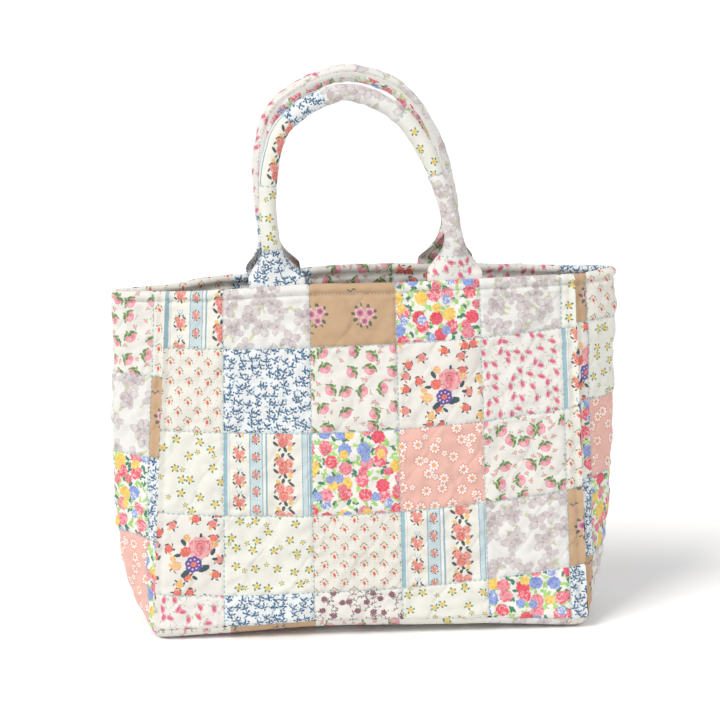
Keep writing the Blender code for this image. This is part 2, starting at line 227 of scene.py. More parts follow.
def outline(lengths, q):
    """x, y and inward normal of the outer face, at lengths along the loop and shares of the height."""
    rows, columns = LOFT.shape[:2]
    a = np.clip(q, 0, 1) * (rows - 1)
    b = np.mod(lengths, LOOP_LENGTH) * columns / LOOP_LENGTH
    i, j = np.clip(np.floor(a).astype(int), 0, rows - 2), np.floor(b).astype(int) % columns
    f, g = (a - i)[..., None], (b - np.floor(b))[..., None]
    k = (j + 1) % columns
    return (LOFT[i, j] * (1 - g) + LOFT[i, k] * g) * (1 - f) + (
        LOFT[i + 1, j] * (1 - g) + LOFT[i + 1, k] * g
    ) * f


def rim_height(lengths):
    found = []
    stations = {"front": RIM_FRONT, "right": RIM_RIGHT, "back": RIM_BACK, "left": RIM_LEFT}
    for name, rows in stations.items():
        start, end = SPANS[name]
        found += [(start + share * (end - start), z) for share, z in rows]
    places, heights = np.array([*found, (LOOP_LENGTH, found[0][1])]).T
    wrapped = np.mod(lengths, LOOP_LENGTH)
    after = np.clip(np.searchsorted(places, wrapped, side="right"), 1, len(places) - 1)
    share = (wrapped - places[after - 1]) / (places[after] - places[after - 1])
    eased = share * share * (3 - 2 * share)
    return heights[after - 1] + eased * (heights[after] - heights[after - 1]) + RIM_SWELL


def sag(lengths, y):
    """How far the soft walls stand in or out of their plain shape, the same on both sides of a corner."""
    around = lengths / LOOP_LENGTH
    slow = noise(around * 14, y / 0.085, 3.1, wrap=14) * 0.0016
    quick = noise(around * 34, y / 0.050, 8.7, wrap=34) * 0.0007
    return slow + quick


def edge_lift(lengths):
    """How far the lower edge stands off the floor between the corners, where the bag is slack."""
    lift = np.zeros(np.shape(lengths))
    wrapped = np.mod(lengths, LOOP_LENGTH)
    for side, (start, end) in SPANS.items():
        share = (wrapped - start) / (end - start)
        high = 0.0068 if side in ("front", "back") else 0.0035
        lift += np.where((share >= 0) & (share < 1), high * np.sin(math.pi * np.clip(share, 0, 1)) ** 1.3, 0)
    wavy = noise(lengths / LOOP_LENGTH * 30, lengths * 0, 4.4, wrap=30)
    return lift * (1 + 0.22 * wavy)


def wall(lengths, y, relief, inside=False):
    """Points of a wall at these lengths and heights along the cloth, raised by relief.

    Over the last stretch the cloth rolls over the rim, from outside and from inside.
    """
    radius = THICKNESS / 2
    top = rim_height(lengths)
    roll = np.clip((y - (top - radius)) / radius, 0, math.pi / 2)
    height = np.minimum(y, top - radius)
    low = EDGE_RADIUS - (THICKNESS if inside else 0)
    angle = np.clip((EDGE_RADIUS - height) / EDGE_RADIUS, 0, math.pi / 2)
    plan = outline(lengths, (height - EDGE_RADIUS) / (top - EDGE_RADIUS))
    sign = -1 if inside else 1
    # Across the wall: 0 on the outer face, and the whole thickness on the inner one.
    depth = radius - sign * radius * np.cos(roll)
    out = sign * np.cos(roll) * np.cos(angle)
    bulge = sag(lengths, y) * np.clip((top - y) / 0.03, 0.25, 1) * np.clip(y / 0.05, 0, 1)
    inset = depth + low * (1 - np.cos(angle)) - out * relief - bulge
    z = np.where(height >= EDGE_RADIUS, height, EDGE_RADIUS - low * np.sin(angle))
    z = z + radius * np.sin(roll) + relief * (np.sin(roll) - sign * np.sin(angle))
    z = z + edge_lift(lengths) * np.clip(1 - y / 0.12, 0, 1) ** 2
    points = plan[..., :2] + inset[..., None] * plan[..., 2:]
    return np.concatenate([points, z[..., None]], axis=-1)


def quilting(x, y):
    """Height of the padding between rows of wavy quilting that meet and part, from 0 to 1."""
    wave = 0.25 * np.sin(2 * math.pi * y / 0.078)
    near = np.minimum(
        np.abs(np.mod(x / 0.046 + wave, 1) - 0.5), np.abs(np.mod(x / 0.046 + 0.5 - wave, 1) - 0.5)
    )
    return 1 - np.exp(-((near * 0.046 / 0.0045) ** 1.6))


def seam_distance(layout, x, y, width, top):
    """Distance along the cloth to the nearest seam between two patches."""
    near = np.full(np.shape(x), 1.0)
    for line in column_lines(layout, width)[1:-1]:
        near = np.minimum(near, np.abs(x - (line[0] + (line[1] - line[0]) * y / top)))
    for row in layout["rows"]:
        near = np.minimum(near, np.abs(y - row_line(row, x / width)))
    return near


SWELL_STEP = 0.004
SWELLS = {}


def simulate_swell(side):
    """Let one wall's cloth swell with air between its rows of quilting, lying flat, and note how high.

    The cloth is a little bigger than the space it is held in, so that it puckers along the stitching.
    """
    start, end = SPANS[side]
    layout, width = LAYOUTS[side], end - start
    columns, rows = round(width / SWELL_STEP) + 1, 83
    x, y = np.meshgrid(np.arange(columns) * width / (columns - 1), np.arange(rows) * SWELL_STEP)
    top = rim_height(start + x)
    flat = np.stack([x, y, noise(x / 0.008, y / 0.008, 2.7) * 0.0002 + 0.0002], axis=-1).reshape(-1, 3)
    mesh = bpy.data.meshes.new("swell")
    mesh.from_pydata(flat.tolist(), [], quads_of(rows, columns).reshape(-1, 4).tolist())
    obj = bpy.data.objects.new("swell", mesh)
    bpy.context.scene.collection.objects.link(obj)
    sewn = (quilting(x + start * 0.7, y) < 0.16) | (seam_distance(layout, x, y, width, top) < 0.0021)
    sewn |= (x < 0.003) | (x > width - 0.003) | (y < 0.009) | (np.abs(top - y - HEM) < 0.0021) | (y > top)
    obj.vertex_groups.new(name="sewn").add(np.nonzero(sewn.ravel())[0].tolist(), 1.0, "REPLACE")
    cloth = obj.modifiers.new("swell", "CLOTH")
    settings = cloth.settings
    settings.quality, settings.mass = 6, 0.15
    settings.tension_stiffness = settings.compression_stiffness = 12.0
    settings.shear_stiffness, settings.bending_stiffness = 6.0, 0.25
    settings.shrink_min = -0.045
    settings.use_pressure, settings.uniform_pressure_force = True, 4.0
    settings.vertex_group_mass, settings.pin_stiffness = "sewn", 1.0
    settings.effector_weights.gravity = 0.0
    cloth.point_cache.frame_start, cloth.point_cache.frame_end = 1, 20
    for number in range(1, 21):
        bpy.context.scene.frame_set(number)
    swollen = obj.evaluated_get(bpy.context.evaluated_depsgraph_get()).to_mesh()
    points = np.empty(3 * len(flat))
    swollen.vertices.foreach_get("co", points)
    height = points.reshape(rows, columns, 3)[..., 2]
    bpy.data.objects.remove(obj)
    bpy.context.scene.frame_set(1)
    # No place rises more than the padding lets it.
    return 0.0026 * np.tanh(np.nan_to_num(height) / 0.0026)


def swell(side, x, y):
    """The simulated swelling at places on a wall's cloth."""
    if side not in SWELLS:
        SWELLS[side] = simulate_swell(side)
    grid = np.pad(SWELLS[side], 2, mode="edge")
    step = (SPANS[side][1] - SPANS[side][0]) / (SWELLS[side].shape[1] - 1)
    u = np.clip(x / step, 0, SWELLS[side].shape[1] - 1)
    v = np.clip(y / SWELL_STEP, 0, SWELLS[side].shape[0] - 1)
    i, j = np.floor(v).astype(int), np.floor(u).astype(int)
    total = 0.0
    for a, weight_v in enumerate(spline_weights(v - i)):
        for b, weight_u in enumerate(spline_weights(u - j)):
            total = total + weight_v * weight_u * grid[i + a + 1, j + b + 1]
    return total


def spline_weights(t):
    """How much each of four neighbours counts on a smooth curve, a share t between the middle two."""
    return (1 - t) ** 3 / 6, (4 - 6 * t**2 + 3 * t**3) / 6, (1 + 3 * t + 3 * t**2 - 3 * t**3) / 6, t**3 / 6


def cloth_relief(layout, side, x, y):
    """How far the quilted cloth stands out at each place: padding, seams, puckers, hem and corner ridges."""
    start, end = SPANS[side]
    width, lengths = end - start, start + x
    top = rim_height(lengths)
    seam = seam_distance(layout, x, y, width, top)
    edge = np.minimum(x, width - x)
    drop = top - y
    relief = swell(side, x, y) * np.clip(drop / 0.012, 0, 1)
    relief -= 0.0008 * np.exp(-((quilting(x + start * 0.7, y) / 0.16) ** 2)) * np.clip(drop / 0.012, 0, 1)
    # Patch seams: a narrow valley, with the cloth rippled along it.
    relief -= 0.0012 * np.exp(-((seam / 0.0015) ** 2))
    ripple = noise(x / 0.0048, y / 0.0048, 5.3) * 0.0006 + noise(x / 0.011, y / 0.011, 1.9) * 0.0009
    relief += ripple * (0.30 + 0.70 * np.exp(-((seam / 0.008) ** 2)))
    # Rows of topstitching under the rim, with the hem standing proud above them.
    relief += 0.0017 * np.exp(-(((drop - 0.0040) / 0.0033) ** 2))
    relief -= 0.0019 * np.exp(-(((drop - HEM) / 0.0013) ** 2))
    relief += 0.0007 * np.exp(-(((drop - HEM - 0.0040) / 0.0025) ** 2))
    relief += noise(lengths / 0.011, drop / 0.006, 6.1) * 0.0004 * np.exp(-((drop - HEM) / 0.008) ** 2)
    # The sewn corners stand up as a ridge outside, and the seam with the base lies in a valley.
    if layout is LAYOUTS[side]:
        ridge = 0.0022 * np.exp(-((edge / 0.0020) ** 2)) - 0.0010 * np.exp(-(((edge - 0.0050) / 0.0018) ** 2))
        relief += ridge * np.clip((drop - 0.001) / 0.008, 0, 1)
    else:
        relief -= 0.0008 * np.exp(-((edge / 0.0020) ** 2)) * np.clip((drop - 0.001) / 0.008, 0, 1)
    relief -= 0.0008 * np.exp(-(((y - 0.0091) / 0.0018) ** 2))
    return relief * np.clip((drop + 0.004) / 0.004, 0, 1)


def column_lines(layout, width):
    return [(0.0, 0.0), *layout["columns"], (width, width)]


def row_line(row, share):
    """A row's height at a share of the panel's width, through its left, middle and right heights."""
    left, middle, right = row
    return left + share * (4 * middle - 3 * left - right) + share * share * 2 * (left + right - 2 * middle)


def panel_grid(layout, side, spacing, bottom):
    """Cloth coordinates of a grid whose lines follow the seams, and each face's (column, row) patch."""
    start, end = SPANS[side]
    width = end - start
    lines = column_lines(layout, width)
    u, patch_u = spread([np.mean(line) for line in lines], spacing)
    heights = [bottom, *(np.mean(row) for row in layout["rows"]), 0.319 + THICKNESS * 0.285]
    v, patch_v = spread(heights, spacing)
    u, v = np.meshgrid(u, v)
    k = np.minimum(u.astype(int), len(lines) - 2)
    f = u - k
    low, high = np.array(lines)[:, 0], np.array(lines)[:, 1]
    x = (low[k] * (1 - f) + low[k + 1] * f + high[k] * (1 - f) + high[k + 1] * f) / 2
    rolled = THICKNESS / 2 * (math.pi / 2 - 1)
    for _ in range(4):
        top = rim_height(start + x) + rolled
        rows = [np.full(x.shape, bottom)]
        rows += [row_line(row, x / width) for row in layout["rows"]] + [top]
        rows = np.array(rows)
        m = np.minimum(v.astype(int), len(rows) - 2)
        g = v - m
        at = np.indices(x.shape)
        y = rows[m, at[0], at[1]] * (1 - g) + rows[m + 1, at[0], at[1]] * g
        t = y / top
        a = low[k] * (1 - t) + high[k] * t
        b = low[k + 1] * (1 - t) + high[k + 1] * t
        x = a * (1 - f) + b * f
    return x, y, np.meshgrid(patch_u, patch_v)


def spread(stops, spacing):
    """Numbers that run from stop to stop, whole at each, with about this spacing, and each step's stop."""
    values, owners = [], []
    for k, (a, b) in enumerate(zip(stops, stops[1:])):
        count = max(1, round((b - a) / spacing))
        values += list(k + np.arange(count) / count)
        owners += [k] * count
    return np.array([*values, len(stops) - 1.0]), np.array(owners)


# Meshes -----------------------------------------------------------------------------------------


def quads_of(rows, columns, around=False):
    """Corner numbers of the faces of a grid of points, closed around its columns if asked."""
    i, j = np.meshgrid(np.arange(rows - 1), np.arange(columns if around else columns - 1), indexing="ij")
    k = (j + 1) % columns
    return np.stack([i * columns + j, i * columns + k, (i + 1) * columns + k, (i + 1) * columns + j], -1)


def make_piece(name, points, quads, materials, index=None, cloth=None, body="bag"):
    """A smooth mesh piece. cloth gives each face corner's place on the flat cloth, in metres."""
    points, quads = points.reshape(-1, 3), quads.reshape(-1, 4)
    mesh = bpy.data.meshes.new(name)
    mesh.vertices.add(len(points))
    mesh.vertices.foreach_set("co", points.astype(np.float32).ravel())
    mesh.loops.add(4 * len(quads))
    mesh.loops.foreach_set("vertex_index", quads.astype(np.int32).ravel())
    mesh.polygons.add(len(quads))
    mesh.polygons.foreach_set("loop_start", np.arange(0, 4 * len(quads), 4, dtype=np.int32))
    for material in materials:
        mesh.materials.append(material)
    if index is not None:
        mesh.polygons.foreach_set("material_index", index.astype(np.int32).ravel())
    if cloth is not None:
        layer = mesh.uv_layers.new(name="cloth")
        layer.data.foreach_set("uv", cloth.astype(np.float32).ravel())
    mesh.update(calc_edges=True)
    mesh.shade_smooth()
    piece = bpy.data.objects.new(name, mesh)
    bpy.context.scene.collection.objects.link(piece)
    if body:
        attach(piece, body)
    return piece


def patch_faces(layout, patch_u, patch_v, x, y, seed):
    """Each face's print, and its corners' places on that print. Every patch was cut from a new place."""
    prints = sorted(set("".join(layout["prints"])))
    names = np.array([[prints.index(c) for c in row] for row in layout["prints"]])
    index = names[patch_v, patch_u]
    shift_x = np.mod((patch_u * 7 + patch_v * 3 + seed) * 0.0371, 0.5)
    shift_y = np.mod((patch_u * 5 + patch_v * 11 + seed) * 0.0533, 0.5)
    corners = np.stack([quad_corners(x), quad_corners(y)], axis=-1)
    for k in range(patch_u.max() + 1):
        columns = np.nonzero(patch_u[0] == k)[0]
        left, right = x[:-1, columns[0]], x[:-1, columns[-1] + 1]
        for m in range(patch_v.max() + 1):
            rows = np.nonzero(patch_v[:, 0] == m)[0]
            here = np.ix_(rows, columns)
            key = layout["prints"][m][k]
            if key == "E":
                # Stripes run along the patch's left seam.
                shift_x[here] = -left[rows][:, None]
            elif key in CENTRED:
                # Large bunches of flowers were cut to sit whole within the patch.
                shift_x[here] = CENTRED[key][0] - (left[rows] + right[rows])[:, None] / 2
                shift_y[here] = CENTRED[key][1] - y[rows[0] : rows[-1] + 2, columns[0]].mean()
    corners += np.stack([shift_x, shift_y], axis=-1)[..., None, :]
    return prints, index, corners


def quad_corners(values):
    return np.stack([values[:-1, :-1], values[:-1, 1:], values[1:, 1:], values[1:, :-1]], axis=-1)


def make_wall(side, prints, inside=False):
    """One wall of the outer bag or of the lining, from the base's seam to the top of the rim."""
    layout = (LININGS if inside else LAYOUTS)[side]
    spacing = (0.0026 if side in ("front", "back") else 0.0022) if inside else GRID
    bottom = EDGE_RADIUS * (1 - SEAM_ANGLE)
    x, y, (patch_u, patch_v) = panel_grid(layout, side, spacing, bottom)
    relief = cloth_relief(layout, side, x, y)
    points = wall(SPANS[side][0] + x, y, relief, inside)
    used, index, corners = patch_faces(layout, patch_u, patch_v, x, y, len(side) + inside)
    quads = quads_of(*x.shape)
    if inside:
        quads, corners = quads[..., ::-1], corners[..., ::-1, :]
        name = f"{side}_lining_cloth"
    else:
        name = f"{side}_quilt"
    piece = make_piece(name, points, quads, [prints[c] for c in used], index, corners)
    kind = "panel" if side in ("front", "back") else "gusset"
    if inside:
        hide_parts(f"{side}_lining")
    else:
        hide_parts(f"{side}_{kind}", f"{side}_wadding")
    return piece


def make_base(prints, inside=False):
    """The base of the outer bag or of the lining: turned up to its seam, and flat below."""
    count = 488
    lengths = np.arange(count) * LOOP_LENGTH / count
    bottom, rings = EDGE_RADIUS * (1 - SEAM_ANGLE), []
    for angle in np.linspace(SEAM_ANGLE, math.pi / 2, 8):
        y = np.full(count, EDGE_RADIUS * (1 - angle))
        rings.append(wall(lengths, y, -0.0008 * np.exp(-(((y - bottom) / 0.0018) ** 2)), inside))
    edge = rings[-1]
    low = np.full(count, THICKNESS if inside else 0.0)
    middle = np.stack([np.clip(edge[:, 0], -0.145, 0.145), edge[:, 1] * 0.0, low], axis=1)
    for share in np.linspace(0, 1, 24)[1:]:
        ring = edge * (1 - share) + middle * share
        soft = quilting(ring[:, 0], ring[:, 1]) * min(1.0, share * 4) * (0.0009 if inside else 0.0004)
        ring[:, 2] += soft if inside else 0.0004 - soft
        rings.append(ring)
    points = np.array(rings)
    quads = quads_of(*points.shape[:2], around=True)
    if not inside:
        quads = quads[..., ::-1]
    centre = points.reshape(-1, 3)[quads].mean(axis=2)
    column = np.searchsorted(BASE_SEAMS, centre[..., 0])
    row = (centre[..., 1] > 0.0).astype(int)
    used = sorted(set("".join(BASE_PRINTS)))
    names = np.array([[used.index(c) for c in line] for line in BASE_PRINTS])
    corners = points.reshape(-1, 3)[quads][..., :2] + np.stack([column * 0.13, row * 0.21], -1)[..., None, :]
    name = "base_lining_cloth" if inside else "base_quilt"
    piece = make_piece(name, points, quads, [prints[c] for c in used], names[row, column], corners)
    if inside:
        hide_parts("base_lining")
    else:
        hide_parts("base_panel", "base_wadding")
    return piece


# Stitches ---------------------------------------------------------------------------------------


def dash_shapes(centres, along, out, length, radius, sides=6):
    """Points and faces of short rounded stitches at these places."""
    along = along / np.linalg.norm(along, axis=1)[:, None]
    out = out - (out * along).sum(axis=1)[:, None] * along
    out /= np.linalg.norm(out, axis=1)[:, None]
    across = np.cross(along, out)
    turn = np.arange(sides) * 2 * math.pi / sides
    profile = ((-0.5, 0.25, -0.8), (-0.42, 0.8, -0.25), (0.0, 1.0, 0.15), (0.42, 0.8, -0.25), (0.5, 0.25, -0.8))
    rings = []
    for place, wide, lift in profile:
        sideways = np.cos(turn)[None, :, None] * across[:, None]
        outwards = np.sin(turn)[None, :, None] * out[:, None]
        ring = (sideways + outwards) * wide * radius + centres[:, None] + along[:, None] * place * length + out[:, None] * lift * radius
        rings.append(ring)
    points = np.stack(rings, axis=1)
    quads = quads_of(len(profile), sides, around=True).reshape(-1, 4)
    offsets = np.arange(len(centres))[:, None, None] * len(profile) * sides
    return points.reshape(-1, 3), (quads[None] + offsets).reshape(-1, 4)


def place_dashes(line, out, pitch):
    """Places, directions and outward directions of dashes at an even pitch along a line of points."""
    steps = np.linalg.norm(np.diff(line, axis=0), axis=1)
    far = np.concatenate([[0], np.cumsum(steps)])
    at = np.arange(pitch / 2, far[-1], pitch)

    def read(values):
        return np.stack([np.interp(at, far, values[:, k]) for k in range(3)], axis=1)

    return read(line), read(np.gradient(line, axis=0)), read(out)


def join_dashes(name, runs, material, length, radius, body="bag"):
    """One piece from several runs of (places, directions, outward directions)."""
    centres, along, out = (np.concatenate(part) for part in zip(*runs))
    points, quads = dash_shapes(centres, along, out, length, radius)
    cloth = np.zeros((len(quads), 4, 2))
    piece = make_piece(name, points, quads, [material], None, cloth, body)
    return piece


def seam_runs(side, layout, inside=False):
    """Runs of dashes along every patch seam of a wall."""
    start, end = SPANS[side]
    width, runs = end - start, []

    def run(x, y):
        top = rim_height(start + x)
        keep = (y > 0.011) & (y < top - 0.003) & (x > 0.0015) & (x < width - 0.0015)
        if keep.sum() < 8:
            return
        x, y = x[keep], y[keep]
        relief = cloth_relief(layout, side, x, y)
        low, high = (wall(start + x, y, relief + d, inside) for d in (0.0003, 0.0013))
        runs.append(place_dashes(low, high - low, DASH_PITCH))

    for a, b in layout["columns"]:
        y = np.arange(0.010, 0.325, 0.001)
        run(a + (b - a) * y / rim_height(start + np.full(len(y), (a + b) / 2)), y)
    for row in layout["rows"]:
        x = np.arange(0.0, width, 0.001)
        run(x, row_line(row, x / width))
    return runs


def rim_runs():
    """The row of topstitching under the rim, all the way around, outside and inside."""
    runs = []
    for inside in (False, True):
        lengths = np.arange(0, LOOP_LENGTH, 0.001)
        y = rim_height(lengths) - HEM
        relief = np.zeros(len(lengths))
        for side, (start, end) in SPANS.items():
            here = (lengths >= start) & (lengths < end)
            layout = (LININGS if inside else LAYOUTS)[side]
            relief[here] = cloth_relief(layout, side, lengths[here] - start, y[here])
        low, high = (wall(lengths, y, relief + d, inside) for d in (0.0003, 0.0013))
        runs.append(place_dashes(low, high - low, 0.0032))
    return runs


# Handles ----------------------------------------------------------------------------------------


def rim_place(side, x, depth, lift=0.0):
    """A point at the rim of the front or back, at about this x."""
    start, end = SPANS[side]
    length = np.array([(start + end) / 2 + (1 if side == "front" else -1) * x / TAPER[1]])
    plan = outline(length, np.array([1.0]))[0]
    return np.array([*(plan[:2] + depth * plan[2:]), rim_height(length)[0] - RIM_SWELL + lift])


def smooth_line(control, count):
    """A Catmull-Rom curve through the control points, at count even steps of length."""
    ends = [2 * control[0] - control[1], *control, 2 * control[-1] - control[-2]]
    t = np.linspace(0, 1, 60, endpoint=False)[:, None]
    fine = []
    for a, b, c, d in zip(ends, ends[1:], ends[2:], ends[3:]):
        cubic = (3 * b - a - 3 * c + d) * t**3 + (2 * a - 5 * b + 4 * c - d) * t**2
        fine.append(0.5 * (2 * b + (c - a) * t + cubic))
    fine = np.concatenate([*fine, control[-1][None]])
    along = np.concatenate([[0], np.cumsum(np.linalg.norm(np.diff(fine, axis=0), axis=1))])
    even = np.linspace(0, along[-1], count)
    return np.stack([np.interp(even, along, fine[:, k]) for k in range(3)], axis=1)


def handle_line(side, count):
    """Centres of the strap, directions across it, the way to the bag's inside, and lengths."""
    inside = np.array([0.0, 1.0 if side == "front" else -1.0, 0.0])
    path = HANDLE_PATHS[side]
    left, right = (rim_place(side, path[i][0], STRAP_DEPTH, HANDLE_GAP) for i in (0, -1))
    control = []
    for x, rise in path:
        share = min(1.0, max(0.0, (x - left[0]) / (right[0] - left[0])))
        foot = left + share * (right - left)
        height = foot[2] + rise * HANDLE_RISE[side]
        control.append(np.array([x, foot[1], height]) + HANDLE_LEAN * rise**1.5 * inside)
    centres = smooth_line(control, count)
    lengths = np.concatenate([[0], np.cumsum(np.linalg.norm(np.diff(centres, axis=0), axis=1))])
    across = np.cross([0.0, 1.0, 0.0], np.gradient(centres, axis=0))
    across /= np.linalg.norm(across, axis=1)[:, None]
    for i, x in ((0, path[0][0]), (-1, path[-1][0])):
        rim = rim_place(side, x + 0.01, STRAP_DEPTH) - rim_place(side, x - 0.01, STRAP_DEPTH)
        rim *= (1 if i == 0 else -1) / np.linalg.norm(rim)
        away = np.clip(np.abs(lengths - lengths[i]) / FLARE, 0, 1)[:, None] ** 2
        across = np.where(away < 1, (1 - away) * rim + away * across, across)
    across /= np.linalg.norm(across, axis=1)[:, None]
    return centres, across, inside, lengths


def strap_frame(side, count):
    """The handle's line, carried on into the rim at both ends, and how far the strap is rolled."""
    centres, across, inside, lengths = handle_line(side, count)
    total = lengths[-1]
    share = np.clip((np.minimum(lengths, total - lengths) - FLAT_FOOT) / (FLARE - FLAT_FOOT), 0, 1)
    roll = 1 - (1 - share) ** 1.8
    ends = []
    for i in (0, -1):
        down = np.array([0.0, 0.0, -1.0])
        drops = np.linspace(SEWN_IN, 0, 9)[:-1]
        tail = centres[i] + drops[:, None] * down
        ends.append(tail if i == 0 else tail[::-1])
    n = len(ends[0])
    centres = np.concatenate([ends[0], centres, ends[1]])
    across = np.concatenate([np.repeat(across[:1], n, 0), across, np.repeat(across[-1:], n, 0)])
    sewn = np.linspace(SEWN_IN, 0, 9)[:-1]
    lengths = np.concatenate([-sewn, lengths, total + np.linspace(0, SEWN_IN, 9)[1:]])
    roll = np.concatenate([np.zeros(n), roll, np.zeros(n)])
    return centres, across, inside, lengths, roll


def strap_points(centres, across, inside, roll, widths, offset):
    """Points of the strap, rolled around its centre line, raised by offset from its middle layer."""
    radius = (STRAP_WIDTH + STRAP_SLIT) / (2 * math.pi)
    bend = np.maximum(roll, 1e-3)[:, None] / radius
    arm = (1 - 0.12 * roll[:, None] ** 2) / bend
    reach = arm + offset
    sideways = np.sin(bend * widths) * reach
    inwards = arm - np.cos(bend * widths) * reach - radius * roll[:, None] ** 1.5
    return centres[:, None] + sideways[..., None] * across[:, None] + inwards[..., None] * inside


def strap_relief(side, widths, lengths):
    """Padding, patch seams and creases of a strap."""
    w, l = np.meshgrid(widths, lengths)
    stops = STRAPS[side][0]
    seam = np.min([np.abs(l - stop) for stop in stops], axis=0)
    relief = -0.0006 * np.exp(-((seam / 0.0014) ** 2))
    relief += 0.0006 * noise(l / 0.015, w / 0.011, 2.2) + 0.00045 * noise(l / 0.006, w / 0.012, 7.1)
    edge = STRAP_WIDTH / 2 - np.abs(w)
    return relief - 0.0007 * np.exp(-((edge / 0.0015) ** 2))


def make_strap(side, prints):
    """A handle's strap: a padded band whose flat ends go into the rim and whose middle is a tube."""
    centres, across, inside, lengths, roll = strap_frame(side, 300)
    half = STRAP_WIDTH / 2
    widths = np.linspace(-half, half, 41)
    relief = strap_relief(side, widths, lengths)
    thick = STRAP_THICKNESS / 2
    rounded = thick * np.sqrt(np.clip(1 - (np.abs(widths) / half) ** 24, 0.02, 1))
    face = strap_points(centres, across, inside, roll, widths, rounded + relief)
    lining = strap_points(centres, across, inside, roll, widths[::-1], -rounded[None, ::-1])
    points = np.concatenate([face, lining], axis=1)
    quads = quads_of(*points.shape[:2], around=True)
    if side == "back":
        quads = quads[..., ::-1]
    stops, outer_prints, inner_prints = STRAPS[side]
    used = sorted(set(outer_prints + inner_prints))
    w = np.concatenate([widths, widths[::-1]])
    middle_l = (lengths[:-1] + lengths[1:])[:, None] / 2
    middle_w = ((w + np.roll(w, -1)) / 2)[None, :]
    piece_of = np.broadcast_to(np.searchsorted(stops, middle_l), (len(lengths) - 1, len(w)))
    outer = np.array([used.index(c) for c in outer_prints])[piece_of]
    inner = np.array([used.index(c) for c in inner_prints])[piece_of]
    index = np.where(middle_w > 0.004, inner, outer)
    flat = np.stack(np.broadcast_arrays(w[None, :], lengths[:, None]), axis=-1).reshape(-1, 2)
    corners = flat[quads] + np.stack([piece_of * 0.137, piece_of * 0.0713], axis=-1)[..., None, :]
    piece = make_piece(f"{side}_handle_strap", points, quads, [prints[c] for c in used], index, corners, None)
    nodes = [f"{side}_handle_{n}" for n in ("cover", "left_end", "right_end")]
    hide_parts(*nodes)
    blend_over_rim(piece, side)
    return piece


def blend_over_rim(piece, side):
    """Bake a piece's placement into its mesh. The line between the handle's feet on the rim is worked out, but nothing
    bends the piece over it.
    """
    feet = [rim_place(side, HANDLE_PATHS[side][i][0], -HINGE_OUT, HINGE_UP) for i in (0, -1)]
    line = feet[1] - feet[0]
    line /= np.linalg.norm(line)
    up = np.array([0.0, 0.0, 1.0]) - line[2] * line
    up /= np.linalg.norm(up)
    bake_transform(piece)


def make_core(side, wadding):
    """The soft cord inside a handle, tapering where the strap opens out."""
    centres, across, inside, lengths, roll = strap_frame(side, 200)
    chosen = np.nonzero(roll > 0.55)[0]
    radius = 0.0066 * np.sqrt(np.clip((roll[chosen] - 0.55) / 0.4, 0.01, 1))
    turn = np.arange(14) * 2 * math.pi / 14
    rings = radius[:, None, None] * (
        np.cos(turn)[None, :, None] * across[chosen][:, None] + np.sin(turn)[None, :, None] * np.abs(inside)
    )
    points = centres[chosen][:, None] + rings
    quads = quads_of(*points.shape[:2], around=True)
    cloth = np.stack(np.broadcast_arrays(turn[None, :] * 0.007, lengths[chosen][:, None]), -1).reshape(-1, 2)
    piece = make_piece(
        f"{side}_handle_cord", points, quads, [wadding], None, cloth[quads], f"{side}_handle"
    )
    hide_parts(f"{side}_handle_core")
    return piece


def make_strap_stitches(side, thread, pale):
    """Stitches across the strap at its patch seams, and the seam where its edges meet."""
    centres, across, inside, lengths, roll = strap_frame(side, 900)
    half = STRAP_WIDTH / 2
    widths = np.linspace(-half + 0.002, half - 0.002, 60)
    relief = strap_relief(side, widths, lengths)
    raised = STRAP_THICKNESS / 2 + relief + 0.0002
    low = strap_points(centres, across, inside, roll, widths, raised)
    high = strap_points(centres, across, inside, roll, widths, raised + 0.001)
    runs = []
    for stop in STRAPS[side][0]:
        row = int(np.argmin(np.abs(lengths - stop)))
        runs.append(place_dashes(low[row], high[row] - low[row], DASH_PITCH))
    across_piece = join_dashes(f"{side}_handle_patch_stitches", runs, thread, DASH, DASH_RADIUS, None)
    blend_over_rim(across_piece, side)
    rolled = np.nonzero(roll > 0.2)[0]
    runs = []
    for column in (1, -2):
        line, out = low[rolled, column], high[rolled, column] - low[rolled, column]
        runs.append(place_dashes(line, out, 0.0036))
    along_piece = join_dashes(f"{side}_handle_seam_stitches", runs, pale, 0.0020, 0.00032, None)
    blend_over_rim(along_piece, side)


# Materials --------------------------------------------------------------------------------------


def ink(code):
    """A printed colour from its usual hexadecimal name. Cotton gives back four fifths of it."""
    parts = [int(code[i : i + 2], 16) / 255 for i in (0, 2, 4)]
    return (*(0.8 * (c / 12.92 if c < 0.04045 else ((c + 0.055) / 1.055) ** 2.4) for c in parts), 1.0)


class Num:
    """A number in a material's nodes, worked with like any other number."""

    def __init__(self, tree, socket):
        self.tree, self.socket = tree, socket

    def math(self, operation, *others, clamp=False):
        node = self.tree.nodes.new("ShaderNodeMath")
        node.operation, node.use_clamp = operation, clamp
        for slot, value in zip(node.inputs, (self, *others)):
            if isinstance(value, Num):
                self.tree.links.new(value.socket, slot)
            else:
                slot.default_value = value
        return Num(self.tree, node.outputs[0])

    def __add__(self, other):
        return self.math("ADD", other)

    def __sub__(self, other):
        return self.math("SUBTRACT", other)

    def __mul__(self, other):
        return self.math("MULTIPLY", other)

    def __rsub__(self, other):
        return self.math("MULTIPLY_ADD", -1.0, other)

    __radd__, __rmul__ = __add__, __mul__


